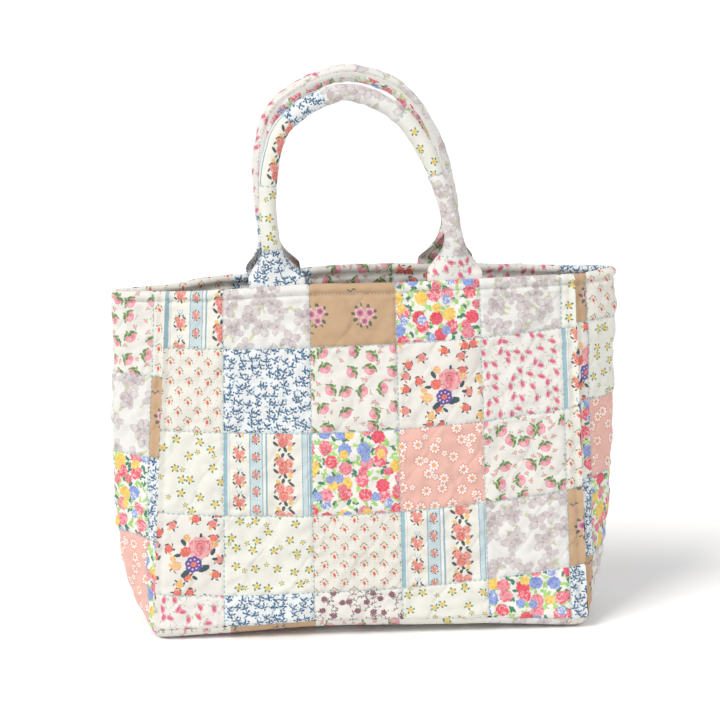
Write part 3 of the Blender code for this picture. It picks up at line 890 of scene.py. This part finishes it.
class Spot:
    """Coordinates in millimetres from the middle of the nearest motif, and that motif's luck."""

    def __init__(self, tree, vector, luck=None, other=None):
        self.tree, self.vector, self.luck, self.other = tree, vector, luck, other

    def moved(self, cx, cy, wide=1.0, high=1.0, turn=0.0):
        node = self.tree.nodes.new("ShaderNodeMapping")
        node.vector_type = "TEXTURE"
        node.inputs["Location"].default_value = (cx, cy, 0.0)
        node.inputs["Rotation"].default_value = (0.0, 0.0, turn)
        node.inputs["Scale"].default_value = (wide, high, 1.0)
        self.tree.links.new(self.vector, node.inputs["Vector"])
        return Spot(self.tree, node.outputs[0], self.luck, self.other)

    def split(self):
        node = self.tree.nodes.new("ShaderNodeSeparateXYZ")
        self.tree.links.new(self.vector, node.inputs[0])
        return Num(self.tree, node.outputs[0]), Num(self.tree, node.outputs[1])

    def far(self):
        node = self.tree.nodes.new("ShaderNodeVectorMath")
        node.operation = "LENGTH"
        self.tree.links.new(self.vector, node.inputs[0])
        return Num(self.tree, node.outputs["Value"])

    def oval(self, cx, cy, wide, high, turn=0.0):
        """1 inside an oval and 0 outside it."""
        crisp = 3.0 * min(wide, high)
        return self.moved(cx, cy, wide, high, turn).far().math("MULTIPLY_ADD", -crisp, crisp, clamp=True)

    def bloom(self, cx, cy, size, petals, depth, turn=0.0):
        """1 inside a round of petals, its distance from the middle, and its angle."""
        here = self.moved(cx, cy, 1.0, 1.0, turn)
        x, y = here.split()
        angle, far = y.math("ARCTAN2", x), here.far()
        edge = (angle * petals).math("COSINE").math("MULTIPLY_ADD", size * depth, size)
        return ((edge - far) * 2.5).math("MULTIPLY", 1.0, clamp=True), far, angle


class Print:
    """A printed cotton: a ground colour with motifs painted over it, and the weave under both."""

    def __init__(self, name, ground, wobble=0.5):
        self.material = bpy.data.materials.new(name)
        self.material.use_nodes = True
        self.tree = self.material.node_tree
        self.shader = self.tree.nodes["Principled BSDF"]
        uv = self.tree.nodes.new("ShaderNodeUVMap")
        uv.uv_map = "cloth"
        scale = self.node("ShaderNodeVectorMath", operation="SCALE")
        scale.inputs["Scale"].default_value = 1000.0
        self.tree.links.new(uv.outputs[0], scale.inputs[0])
        self.plain = scale.outputs[0]
        self.at = self.shaken(self.plain, 0.45, wobble)
        ruffle = self.texture("ShaderNodeTexNoise", self.plain, 0.28, 2.0)
        self.ruffle = Num(self.tree, ruffle.outputs["Fac"]) * 9.0
        self.colour = ground if isinstance(ground, tuple) else ink(ground)

    def node(self, kind, **settings):
        node = self.tree.nodes.new(kind)
        for key, value in settings.items():
            setattr(node, key, value)
        return node

    def shaken(self, vector, scale, amount):
        """The same place, moved a little, as a screen printer's hand would."""
        blur = self.texture("ShaderNodeTexNoise", vector, scale, 1.0)
        middle = self.node("ShaderNodeVectorMath", operation="SUBTRACT")
        middle.inputs[1].default_value = (0.5, 0.5, 0.5)
        self.tree.links.new(blur.outputs["Color"], middle.inputs[0])
        add = self.node("ShaderNodeVectorMath", operation="MULTIPLY_ADD")
        add.inputs[1].default_value = (2 * amount, 2 * amount, 0.0)
        self.tree.links.new(middle.outputs[0], add.inputs[0])
        self.tree.links.new(vector, add.inputs[2])
        return add.outputs[0]

    def texture(self, kind, vector, scale, detail):
        node = self.node(kind, noise_dimensions="2D")
        node.inputs["Scale"].default_value = scale
        node.inputs["Detail"].default_value = detail
        self.tree.links.new(vector, node.inputs["Vector"])
        return node

    def scatter(self, wide, high, jitter, seed, spin=0.0, drop=False, vector=None):
        """Motifs strewn at about this spacing, or in a half-drop lattice, each with its own turn."""
        place = self.node("ShaderNodeMapping", vector_type="POINT")
        place.inputs["Location"].default_value = (seed * 7.31, seed * 3.77, 0.0)
        place.inputs["Scale"].default_value = (1 / wide, 1 / high, 1.0)
        if drop:
            place.inputs["Rotation"].default_value = (0.0, 0.0, math.radians(45))
            place.inputs["Scale"].default_value = (math.sqrt(2) / wide, math.sqrt(2) / wide, 1.0)
        self.tree.links.new(vector or self.at, place.inputs["Vector"])
        cells = self.node("ShaderNodeTexVoronoi", voronoi_dimensions="2D", feature="F1")
        cells.inputs["Scale"].default_value = 1.0
        cells.inputs["Randomness"].default_value = jitter
        self.tree.links.new(place.outputs[0], cells.inputs["Vector"])
        local = self.node("ShaderNodeVectorMath", operation="SUBTRACT")
        self.tree.links.new(place.outputs[0], local.inputs[0])
        self.tree.links.new(cells.outputs["Position"], local.inputs[1])
        back = self.node("ShaderNodeVectorMath", operation="MULTIPLY")
        back.inputs[1].default_value = (wide, high, 0.0)
        if drop:
            back.inputs[1].default_value = (wide / math.sqrt(2), wide / math.sqrt(2), 0.0)
        self.tree.links.new(local.outputs[0], back.inputs[0])
        lucks = self.node("ShaderNodeSeparateColor")
        self.tree.links.new(cells.outputs["Color"], lucks.inputs[0])
        first, luck, other = (Num(self.tree, s) for s in lucks.outputs)
        turn = self.node("ShaderNodeVectorRotate", rotation_type="Z_AXIS")
        self.tree.links.new(back.outputs[0], turn.inputs["Vector"])
        base = -math.radians(45) if drop else 0.0
        self.tree.links.new((first.math("MULTIPLY_ADD", 2 * spin, base - spin)).socket, turn.inputs["Angle"])
        return Spot(self.tree, turn.outputs[0], luck, other)

    def paint(self, mask, colour):
        mix = self.node("ShaderNodeMix", data_type="RGBA", clamp_factor=True)
        if isinstance(mask, Num):
            self.tree.links.new(mask.socket, mix.inputs["Factor"])
        else:
            mix.inputs["Factor"].default_value = mask
        for value, slot in ((self.colour, mix.inputs[6]), (colour, mix.inputs[7])):
            value = ink(value) if isinstance(value, str) else value
            if isinstance(value, tuple):
                slot.default_value = value
            else:
                self.tree.links.new(value, slot)
        self.colour = mix.outputs[2]

    def pick(self, luck, *codes):
        """One of several inks, by a motif's luck."""
        ramp = self.node("ShaderNodeValToRGB")
        ramp.color_ramp.interpolation = "CONSTANT"
        stops = ramp.color_ramp.elements
        while len(stops) < len(codes):
            stops.new(0.5)
        for k, (stop, code) in enumerate(zip(stops, codes)):
            stop.position, stop.color = k / len(codes), ink(code)
        self.tree.links.new(luck.socket, ramp.inputs[0])
        return ramp.outputs[0]

    def leaves(self, spot, spots, colour):
        for cx, cy, wide, high, turn in spots:
            self.paint(spot.oval(cx, cy, wide, high, turn), colour)

    def band(self, x, middle, half, soft=3.0):
        """1 within half a width of a middle line."""
        return (x - middle).math("ABSOLUTE").math("MULTIPLY_ADD", -soft, soft * half, clamp=True)

    def rose(self, spot, cx, cy, size, light, dark, petals=7, curl=2.3):
        """A full bloom whose petals show as darker curved strokes."""
        mask, far, angle = spot.bloom(cx, cy, size, petals, 0.06)
        self.paint(mask, light)
        strokes = (far * curl + angle * 2.0 + (angle * 5.0).math("SINE") * 0.9 + self.ruffle).math("SINE")
        self.paint(strokes.math("MULTIPLY_ADD", 1.6, -0.35, clamp=True) * mask, dark)

    def finish(self, weave=1.0):
        """Colour, roughness and weave, from the cloth's own threads."""
        patchy = self.texture("ShaderNodeTexNoise", self.plain, 0.05, 3.0)
        fade = Num(self.tree, patchy.outputs["Fac"]).math("MULTIPLY_ADD", 0.22, 0.02)
        self.paint(fade * 0.45, "ffffff")
        x, y = Spot(self.tree, self.plain).split()
        warp = (x * (2 * math.pi / 0.62)).math("SINE")
        weft = (y * (2 * math.pi / 0.58)).math("SINE")
        slubs = self.texture("ShaderNodeTexNoise", self.plain, 1.6, 3.0)
        slub = Num(self.tree, slubs.outputs["Fac"])
        self.paint((warp * weft).math("MULTIPLY_ADD", 0.035, 0.035), "8c857c")
        self.tree.links.new(self.colour, self.shader.inputs["Base Color"])
        rough = slub.math("MULTIPLY_ADD", 0.25, 0.74)
        self.tree.links.new(rough.socket, self.shader.inputs["Roughness"])
        height = warp * weft * 0.5 + slub * 2.2
        bump = self.node("ShaderNodeBump")
        bump.inputs["Strength"].default_value = 0.32 * weave
        bump.inputs["Distance"].default_value = 0.00012
        self.tree.links.new(height.socket, bump.inputs["Height"])
        self.tree.links.new(bump.outputs[0], self.shader.inputs["Normal"])
        self.shader.inputs["Sheen Weight"].default_value = 0.12
        self.shader.inputs["Sheen Roughness"].default_value = 0.5
        self.shader.inputs["Specular IOR Level"].default_value = 0.25
        return self.material


def orange_buds():
    p = Print("cotton_orange_buds", "f0ece2", 0.3)
    s = p.scatter(17.5, 17.5, 0.0, 1, 0.35, drop=True)
    p.leaves(s, ((-2.7, 2.2, 1.3, 0.85, 0.6), (2.7, 1.8, 1.3, 0.85, -0.7), (0.3, 4.5, 0.7, 1.3, 0.0)), "83884a")
    p.leaves(s, ((-1.1, 3.5, 0.8, 0.7, 0.0), (1.8, 3.5, 0.8, 0.7, 0.0), (3.3, -0.7, 1.0, 0.65, -0.9)), "a5744a")
    p.leaves(s, ((-3.1, -0.5, 0.8, 0.5, 0.9), (0.2, -3.3, 0.5, 0.8, 0.2), (-0.2, -6.6, 0.45, 0.45, 0.0)), "86844e")
    p.paint(s.oval(0.0, 0.0, 1.65, 2.5, 0.3), "f2ab92")
    p.paint(s.oval(0.35, -0.4, 1.05, 2.1, 0.3), "dc4f38")
    return p.finish()


def blue_sprigs():
    p = Print("cotton_blue_sprigs", "f1f4f4", 0.9)
    t = p.scatter(9.0, 8.0, 0.9, 5, 3.1)
    p.leaves(t, ((0.0, 0.0, 1.9, 0.8, 0.0), (1.3, 1.2, 1.2, 0.6, 1.2)), "86b7d6")
    s = p.scatter(8.0, 7.6, 0.8, 2, 1.1)
    first = ((0.0, 0.2, 0.70, 3.3, 0.1), (1.7, 1.7, 2.1, 1.0, 0.75), (-1.7, 0.5, 2.1, 1.0, 2.3))
    second = ((1.4, -1.6, 1.9, 0.95, -0.5), (-1.5, -2.4, 1.5, 0.9, 0.6), (3.5, -0.3, 1.0, 0.85, 1.2))
    p.leaves(s, first + second + ((-3.4, 2.4, 0.9, 0.9, 0.0),), "045a86")
    return p.finish()


def pink_rosebuds():
    p = Print("cotton_pink_rosebuds", "f1eee7", 0.6)
    small = p.scatter(10.5, 10.5, 0.9, 3, 3.1)
    p.leaves(small, ((0.0, 0.0, 2.1, 1.4, 0.0),), "f2a7b2")
    p.leaves(small, ((-1.9, 1.0, 1.6, 0.6, 0.7), (2.0, -0.8, 1.3, 0.55, -0.5), (0.4, 2.0, 0.6, 1.3, 0.4)), "85a95e")
    s = p.scatter(19.0, 17.5, 0.65, 8, 1.6)
    p.paint(s.oval(0, -0.2, 7.2, 6.4), "f1eee7")
    p.paint(s.oval(0, -0.6, 5.3, 4.2, 0.1), "ef98a8")
    p.paint(s.oval(-1.0, -1.6, 3.6, 2.2, 0.3), "f6b3bc")
    p.paint(s.oval(1.4, -0.6, 1.9, 1.3, 0.8), "e37f93")
    p.leaves(s, ((-3.2, 3.1, 2.9, 1.4, 0.6), (3.2, 3.2, 2.9, 1.3, -0.5), (0.2, 2.0, 2.1, 1.6, 0.2)), "568a38")
    p.leaves(s, ((-0.6, 5.2, 1.1, 2.1, 0.3), (5.9, 0.8, 2.0, 1.0, -1.0), (-5.9, 0.4, 2.0, 1.0, 1.0)), "74a24c")
    return p.finish()


def yellow_flowers():
    p = Print("cotton_yellow_flowers", "f2f1e7", 0.35)
    for pitch, seed, size in ((17.5, 4, 1.0), (23.0, 11, 0.6)):
        s = p.scatter(pitch, pitch * 0.92, 0.75, seed, 3.1).moved(0, 0, size, size)
        around = [(2.8 * math.cos(a), 2.8 * math.sin(a), 1.9, 1.0, a + 0.5) for a in (0.3, 1.4, 2.5, 3.7, 5.2)]
        p.leaves(s, around, "4a8d66")
        p.paint(s.bloom(0, 0, 2.4, 6, 0.05)[0], "f9d469")
        p.paint(s.oval(0.1, 0.0, 1.15, 1.0), "d99f45")
        p.paint(s.oval(0.0, 0.1, 0.6, 0.6), "fdf0b4")
    return p.finish()


def rose_stripes():
    p = Print("cotton_rose_stripes", "f4f2e8", 0.3)
    x, y = Spot(p.tree, p.at).split()
    u = x.math("FLOORED_MODULO", 76.0)
    dots = ((y * 2.6).math("SINE") * (u * 2.6).math("SINE")).math("MULTIPLY_ADD", 1.5, 0.2, clamp=True)
    for middle, half in ((29.0, 6.2), (72.5, 3.0)):
        wide = p.band(u, middle, half)
        p.paint(wide, "b9d3db")
        p.paint(wide * dots, "eef4f4")
        for edge in (middle - half + 0.6, middle + half - 0.6):
            p.paint(p.band(u, edge, 0.5), "7fabbd")
    p.paint(p.band(u, 1.8, 1.9), "97bdca")
    p.paint(p.band(u, 5.2, 0.35), "a9cad4")
    p.paint(p.band(u, 38.2, 0.9), "86b0c1")
    flat = p.node("ShaderNodeCombineXYZ")
    p.tree.links.new(y.socket, flat.inputs[1])
    rows = ((14.0, 23.0, 0.95, 1), (29.0, 16.0, 0.6, 5), (54.0, 24.0, 1.55, 9))
    for middle, pitch, size, seed in rows:
        cells = p.scatter(pitch, pitch, 0.2, seed, 0.0, vector=flat.outputs[0])
        _, dy = cells.split()
        join = p.node("ShaderNodeCombineXYZ")
        p.tree.links.new((u - middle).socket, join.inputs[0])
        p.tree.links.new(dy.socket, join.inputs[1])
        s = Spot(p.tree, join.outputs[0], cells.luck).moved(0, 0, size, size)
        leaves = ((-4.2, 4.6, 2.6, 1.0, 0.8), (4.0, 5.0, 2.6, 1.0, -0.7), (-4.8, -3.0, 2.4, 1.0, 2.4))
        more = ((4.8, -3.2, 2.6, 1.0, 0.6), (0.6, -6.4, 1.1, 2.2, 0.4), (-0.8, 6.6, 1.1, 2.0, -0.3))
        last = ((-2.6, -6.4, 1.6, 0.7, 0.9), (2.8, 7.2, 1.6, 0.7, 0.6), (-5.4, 0.8, 1.5, 0.7, 1.2))
        p.leaves(s, leaves + more + last, "33413d")
        p.rose(s, -2.4, 2.6, 2.9, "f2a092", "db5f54", 7, 2.4)
        p.rose(s, 2.7, 1.6, 2.8, "f4ab9c", "de6c5f", 7, 2.4)
        p.rose(s, -0.6, -2.2, 3.1, "ef9082", "d4564c", 7, 2.4)
        if size > 0.6:
            p.rose(s, 3.4, -3.0, 1.9, "f6b8a8", "e17b6c", 6, 3.0)
        p.paint(s.bloom(3.3, -5.9, 1.6, 6, 0.12)[0], "f2cb70")
        p.paint(s.bloom(-3.9, 6.4, 1.4, 6, 0.12)[0], "f2cb70")
        if middle < 20.0:
            ring = s.moved(0, 12.0).oval(0, 0, 2.9, 3.9) - s.moved(0, 12.0).oval(0, 0, 2.2, 3.1)
            p.paint(ring.math("MULTIPLY", 1.0, clamp=True), "94bccb")
            p.paint(s.oval(0, 12.0, 0.6, 1.6), "94bccb")
    return p.finish()


def bright_roses():
    p = Print("cotton_bright_roses", "f7f5ee", 1.1)
    for wide, seed in ((8.2, 2), (9.5, 6)):
        s = p.scatter(wide, wide, 0.9, seed, 3.1)
        shades = p.pick(s.luck, "a3d870", "25805c", "b6df82")
        p.leaves(s, ((0.0, 0.0, 3.4, 1.6, 0.0), (1.9, 1.8, 1.8, 0.9, 1.0)), shades)
    s = p.scatter(15.8, 15.0, 0.6, 12, 3.1)
    light = p.pick(s.luck, "f2526a", "f59aa5", "fdd968", "93a8e4", "f4637a", "f7a3ad", "f24a62")
    dark = p.pick(s.luck, "dd2c48", "ee6078", "f5b840", "6f88d2", "f9c3c6", "e9607a", "f8b4b8")
    p.rose(s, 0, 0, 6.2, light, dark, 9, 1.1)
    t = p.scatter(19.0, 17.5, 0.8, 23, 3.1)
    light = p.pick(t.luck, "9fb2e4", "fbdb72", "f08a97", "8fa3de")
    p.rose(t, 0, 0, 4.4, light, p.pick(t.luck, "7189d0", "f3b446", "dc3f57", "e9eefb"), 7, 1.5)
    return p.finish()


def coral_daisies():
    p = Print("cotton_coral_daisies", "f3bdae", 0.25)
    s = p.scatter(16.5, 15.0, 0.75, 6, 3.1)
    p.paint(s.bloom(0, 0, 5.3, 8, 0.09)[0], "ea7264")
    mask, _, angle = s.bloom(0, 0, 4.6, 8, 0.12)
    p.paint(mask, "fdf8f2")
    gaps = (angle * 8.0).math("COSINE").math("MULTIPLY_ADD", -5.0, -3.6, clamp=True)
    p.paint(gaps * mask, "eb8071")
    p.paint(s.oval(0, 0, 1.9, 1.9), "ea7768")
    p.paint(s.oval(0, 0, 1.45, 1.45), "f5b45a")
    t = p.scatter(23.0, 24.0, 0.9, 14, 3.1).moved(0, 0, 0.66, 0.66)
    p.paint(t.bloom(0, 0, 4.9, 5, 0.2)[0], "ea7768")
    p.paint(t.bloom(0, 0, 4.0, 5, 0.24)[0], "fdf5ee")
    p.paint(t.oval(0, 0, 1.4, 1.4), "f2a465")
    return p.finish()


def tan_anemones():
    p = Print("cotton_tan_anemones", "cba67e", 0.45)
    s = p.scatter(44.0, 44.0, 0.0, 0, 0.35)
    around = ((-7.8, 4.6, 2.6, 1.8, 2.4), (8.2, 6, 2.7, 1.8, 0.6), (2, 8.8, 1.8, 2.5, 0.2), (-6.6, -5.6, 2.7, 1.8, 0.8))
    more = ((7.2, -5.6, 2.7, 1.8, 2.3), (0, -9.0, 1.8, 2.5, -0.2), (-9.6, -1, 2.3, 1.5, 3.0), (10.2, 0.6, 2.4, 1.6, 0.1))
    last = ((-4.6, 8.6, 1.0, 2.2, 0.5), (5.4, -9.4, 1.0, 2.2, 0.6), (-3.4, -9.0, 0.8, 1.8, -0.6))
    p.leaves(s, around + more + last, "59624c")
    for cx, cy, size, turn in ((-3.8, 1.2, 4.9, 0.3), (4.6, 3.6, 4.6, 1.1), (1.8, -4.8, 4.2, 2.0)):
        mask, far, angle = s.bloom(cx, cy, size, 5, 0.13, turn)
        p.paint(mask, "eeb8c1")
        rays = (far * -1.0 + size * 0.75) + (angle * 15.0).math("SINE") * 0.5
        p.paint(rays.math("MULTIPLY", 0.7, clamp=True) * mask, "b95584")
        p.paint(s.oval(cx, cy, 1.05, 1.05), "575340")
    t = p.scatter(44.0, 44.0, 0.5, 9.5, 0.9)
    p.leaves(t, ((0, 0, 2.4, 1.0, 0.5), (2.6, 1.4, 2.2, 0.9, -0.5), (-2.4, 1.4, 2.0, 0.9, 2.4)), "687059")
    p.paint(t.bloom(0.4, -1.6, 1.6, 5, 0.2)[0], "e09aab")
    return p.finish()


def mauve_watercolour():
    p = Print("cotton_mauve_watercolour", "f1efeb", 1.2)
    wash = p.texture("ShaderNodeTexNoise", p.at, 0.20, 2.0)
    wash = Num(p.tree, wash.outputs["Fac"]).math("MULTIPLY_ADD", 1.3, 0.0, clamp=True)
    for wide, seed, size, code in ((26.0, 4, 0.86, "b39a9f"), (23.0, 9, 0.70, "baa6aa")):
        s = p.scatter(wide, wide * 0.86, 0.7, seed, 3.1).moved(0, 0, size, size)
        p.paint(s.oval(11.5, 6.0, 6.0, 1.8, 0.6) * 0.85, "cfd6a0")
        for k in range(4):
            a = k * 1.57 + 0.3
            petal = s.oval(6.2 * math.cos(a), 6.2 * math.sin(a), 5.6, 4.3, a)
            p.paint(petal * wash * 0.66, code)
            rim = petal - s.oval(6.3 * math.cos(a), 6.3 * math.sin(a), 5.1, 3.8, a)
            p.paint(rim.math("MULTIPLY", 0.45, clamp=True), "a9969f")
        p.paint(s.oval(0, 0, 1.5, 1.2) * 0.7, "8d7c92")
    return p.finish()


def rose_bouquets():
    p = Print("cotton_rose_bouquets", "f1ede5", 0.6)
    t = p.scatter(18.0, 17.0, 0.9, 5, 3.1)
    left = ((-3.4, 1.6, 2.6, 1.1, 0.6), (3.0, 2.6, 2.5, 1.1, -0.8))
    right = ((0.6, -3.9, 1.0, 2.5, 0.3), (4.4, -2.2, 1.9, 0.7, 0.5))
    p.leaves(t, left + right, "0c4650")
    light = p.pick(t.luck, "ef7a6a", "f5c987", "f09a90", "f2826f")
    p.rose(t, 0, 0, 3.8, light, p.pick(t.luck, "d94335", "e9a64f", "de6a60", "d94335"), 7, 2.2)
    p.paint(t.bloom(-3.4, -3.0, 1.6, 5, 0.15)[0], "f3c27c")
    s = p.scatter(76.0, 74.0, 0.0, 0, 0.25)
    first = ((10, -10, 5.8, 3.1, 0.6), (-5, -17, 5.0, 2.7, 0.9), (15, 6, 3.9, 2.1, 1.3), (-12, 10, 3.9, 2.1, 2.2))
    second = ((-15, -2, 3.6, 1.7, 0.3), (4, -20, 3.2, 1.5, 2.6), (18, 0, 3.0, 1.4, 0.2), (2, 19, 1.6, 3.0, 0.2))
    p.leaves(s, first + second, "0b424c")
    for cx, cy, r in ((-13, -11, 4.0), (-18, -6, 3.2), (-10, 15, 3.6), (15, 13, 3.6)):
        p.rose(s, cx, cy, r, "f6d08c", "ef9a80", 7, 1.8)
    p.rose(s, 3.0, 8.0, 10.6, "f4b0b2", "e56e7a", 9, 1.0)
    p.rose(s, 3.2, 8.4, 5.0, "f0929a", "d6454f", 7, 1.7)
    mask, far, angle = s.bloom(0.5, -8.0, 7.6, 8, 0.07)
    p.paint(mask, "5d3b95")
    lobes = (angle * 8.0).math("COSINE") + (far * 1.7).math("SINE")
    lobes = lobes.math("MULTIPLY_ADD", 1.4, -1.0, clamp=True)
    p.paint(lobes * mask, "dfd2ec")
    p.rose(s, 0.5, -8.0, 2.8, "ef837a", "d63c46", 7, 2.3)
    p.rose(s, -8.6, 2.0, 4.8, "ee7968", "d8402f", 7, 1.7)
    return p.finish()


def red_rosebuds():
    p = Print("cotton_red_rosebuds", "f3efe9", 0.5)
    t = p.scatter(8.4, 8.4, 0.9, 13, 3.1)
    p.leaves(t, ((0, 0, 1.6, 0.5, 0.3), (1.1, 1.1, 1.2, 0.45, 1.4)), "b3c097")
    s = p.scatter(11.4, 11.0, 0.7, 2, 1.0)
    p.leaves(s, ((-2.4, 3.2, 2.0, 0.7, 0.9), (2.4, 3.0, 1.9, 0.65, -0.9), (0.1, -4.8, 0.45, 1.7, 0.1)), "a3b587")
    p.paint(s.oval(0, 0, 2.5, 3.9, 0.35), "f0a9b9")
    p.paint(s.oval(-0.7, 0.2, 0.9, 3.1, 0.5), "d63f68")
    p.paint(s.oval(1.0, -0.4, 0.7, 2.5, 0.15), "dd5f82")
    p.paint(s.oval(0.1, 1.8, 1.6, 0.8, 0.6), "e0708d")
    return p.finish()


def maroon_toile():
    p = Print("cotton_maroon_toile", "f1ede6", 0.8)
    for wide, high, seed in ((19.0, 13.0, 4), (23.0, 15.0, 10)):
        s = p.scatter(wide, high, 0.7, seed, 1.2)
        x, y = s.split()
        stem = (y - (x * 0.42).math("SINE") * 2.0).math("ABSOLUTE").math("MULTIPLY_ADD", -3.0, 1.3, clamp=True)
        p.paint(stem * s.oval(0, 0, 9.0, 5.0), "4f1a2c")
        sprigs = []
        for k in range(-4, 5):
            side = 1 if k % 2 == 0 else -1
            sprigs.append((2.2 * k, 2.0 * math.sin(0.92 * k) + side * 1.3, 1.5, 0.6, 0.7 * side))
        p.leaves(s, sprigs, "4f1a2c")
    t = p.scatter(15.0, 12.0, 0.8, 17, 3.1)
    p.rose(t, 0, 0, 3.0, "9d6a77", "481426", 6, 3.0)
    return p.finish()


def make_thread(name, code):
    p = Print(name, code, 0.1)
    geometry = p.node("ShaderNodeTexCoord")
    twist = p.node("ShaderNodeTexNoise", noise_dimensions="3D")
    twist.inputs["Scale"].default_value = 900.0
    p.tree.links.new(geometry.outputs["Object"], twist.inputs["Vector"])
    shade = Num(p.tree, twist.outputs["Fac"])
    p.paint(shade * 0.35, "ffffff")
    p.tree.links.new(p.colour, p.shader.inputs["Base Color"])
    p.tree.links.new(shade.math("MULTIPLY_ADD", 0.3, 0.45).socket, p.shader.inputs["Roughness"])
    bump = p.node("ShaderNodeBump")
    bump.inputs["Strength"].default_value = 0.4
    bump.inputs["Distance"].default_value = 0.0001
    p.tree.links.new(shade.socket, bump.inputs["Height"])
    p.tree.links.new(bump.outputs[0], p.shader.inputs["Normal"])
    p.shader.inputs["Sheen Weight"].default_value = 0.2
    return p.material


def make_wadding():
    p = Print("wadding_felt", "f2f1ec", 0.1)
    return p.finish(weave=2.0)


# Stage ------------------------------------------------------------------------------------------

CAMERA = {
    "azimuth": -5.25,
    "elevation": 11.7,
    "look": (-0.0084, -0.02, 0.2485),
    "distance": 1.896,
    "lens": 105.0,
}


def make_stage():
    """A large pale floor, just under the bag."""
    size = 30.0
    mesh = bpy.data.meshes.new("floor")
    corners = [(-size, -size, 0), (size, -size, 0), (size, size, 0), (-size, size, 0)]
    mesh.from_pydata(corners, [], [(0, 1, 2, 3)])
    floor = bpy.data.objects.new("floor", mesh)
    bpy.context.scene.collection.objects.link(floor)
    floor.location.z = -0.0004
    material = bpy.data.materials.new("floor_paper")
    material.use_nodes = True
    shader = material.node_tree.nodes["Principled BSDF"]
    shader.inputs["Base Color"].default_value = (0.93, 0.93, 0.93, 1)
    shader.inputs["Roughness"].default_value = 0.9
    shader.inputs["Specular IOR Level"].default_value = 0.1
    mesh.materials.append(material)


def add_sun(name, way, spread_degrees, power, colour):
    light = bpy.data.lights.new(name, "SUN")
    light.angle, light.energy, light.color = math.radians(spread_degrees), power, colour
    obj = bpy.data.objects.new(name, light)
    bpy.context.scene.collection.objects.link(obj)
    obj.location = way
    aim(obj, way, (0.0, 0.0, 0.0))


def aim(obj, place, target):
    obj.rotation_euler = (Vector(target) - Vector(place)).to_track_quat("-Z", "Y").to_euler()


def make_lights():
    world = bpy.data.worlds.new("studio")
    bpy.context.scene.world = world
    world.use_nodes = True
    background = world.node_tree.nodes["Background"]
    background.inputs["Color"].default_value = (1.0, 1.0, 1.0, 1.0)
    background.inputs["Strength"].default_value = 0.68
    add_sun("key", (-0.70, -0.54, 0.96), 26.0, 2.15, (1.0, 0.985, 0.96))
    add_sun("fill", (0.70, -0.75, 0.45), 60.0, 0.36, (0.97, 0.985, 1.0))


def make_camera():
    camera = bpy.data.cameras.new("camera")
    camera.lens, camera.sensor_width = CAMERA["lens"], 36.0
    camera.clip_end = 100.0
    obj = bpy.data.objects.new("camera", camera)
    bpy.context.scene.collection.objects.link(obj)
    a, e = math.radians(CAMERA["azimuth"]), math.radians(CAMERA["elevation"])
    away = np.array([math.sin(a) * math.cos(e), -math.cos(a) * math.cos(e), math.sin(e)])
    place = tuple(np.array(CAMERA["look"]) + CAMERA["distance"] * away)
    obj.location = place
    aim(obj, place, CAMERA["look"])
    bpy.context.scene.camera = obj


def make_prints():
    makers = {
        "A": orange_buds,
        "B": blue_sprigs,
        "C": pink_rosebuds,
        "D": yellow_flowers,
        "E": rose_stripes,
        "F": bright_roses,
        "G": coral_daisies,
        "H": tan_anemones,
        "I": mauve_watercolour,
        "J": rose_bouquets,
        "K": red_rosebuds,
        "L": maroon_toile,
    }
    return {key: make() for key, make in makers.items()}


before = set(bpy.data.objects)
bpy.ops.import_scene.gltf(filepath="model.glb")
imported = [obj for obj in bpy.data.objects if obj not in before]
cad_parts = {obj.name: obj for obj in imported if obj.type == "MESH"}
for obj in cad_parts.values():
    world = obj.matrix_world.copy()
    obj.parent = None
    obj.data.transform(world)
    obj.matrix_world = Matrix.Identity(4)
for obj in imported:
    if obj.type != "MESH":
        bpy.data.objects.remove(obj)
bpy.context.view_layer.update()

bpy.context.scene.view_settings.view_transform = "Standard"
prints = make_prints()
teal, pale = make_thread("thread_teal", "9cc6cc"), make_thread("thread_pale", "ece7de")
wadding = make_wadding()

for side in SPANS:
    make_wall(side, prints)
    make_wall(side, prints, inside=True)
    stitches = seam_runs(side, LAYOUTS[side])
    join_dashes(f"{side}_patch_stitches", stitches, teal, DASH, DASH_RADIUS)
    stitches = seam_runs(side, LININGS[side], inside=True)
    join_dashes(f"{side}_lining_stitches", stitches, teal, DASH, DASH_RADIUS)
make_base(prints)
make_base(prints, inside=True)
topstitch = join_dashes("rim_topstitch_thread", rim_runs(), pale, 0.0024, 0.00034)
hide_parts("rim_topstitch")
for side in ("front", "back"):
    make_strap(side, prints)
    make_core(side, wadding)
    make_strap_stitches(side, teal, pale)

make_stage()
make_lights()
make_camera()
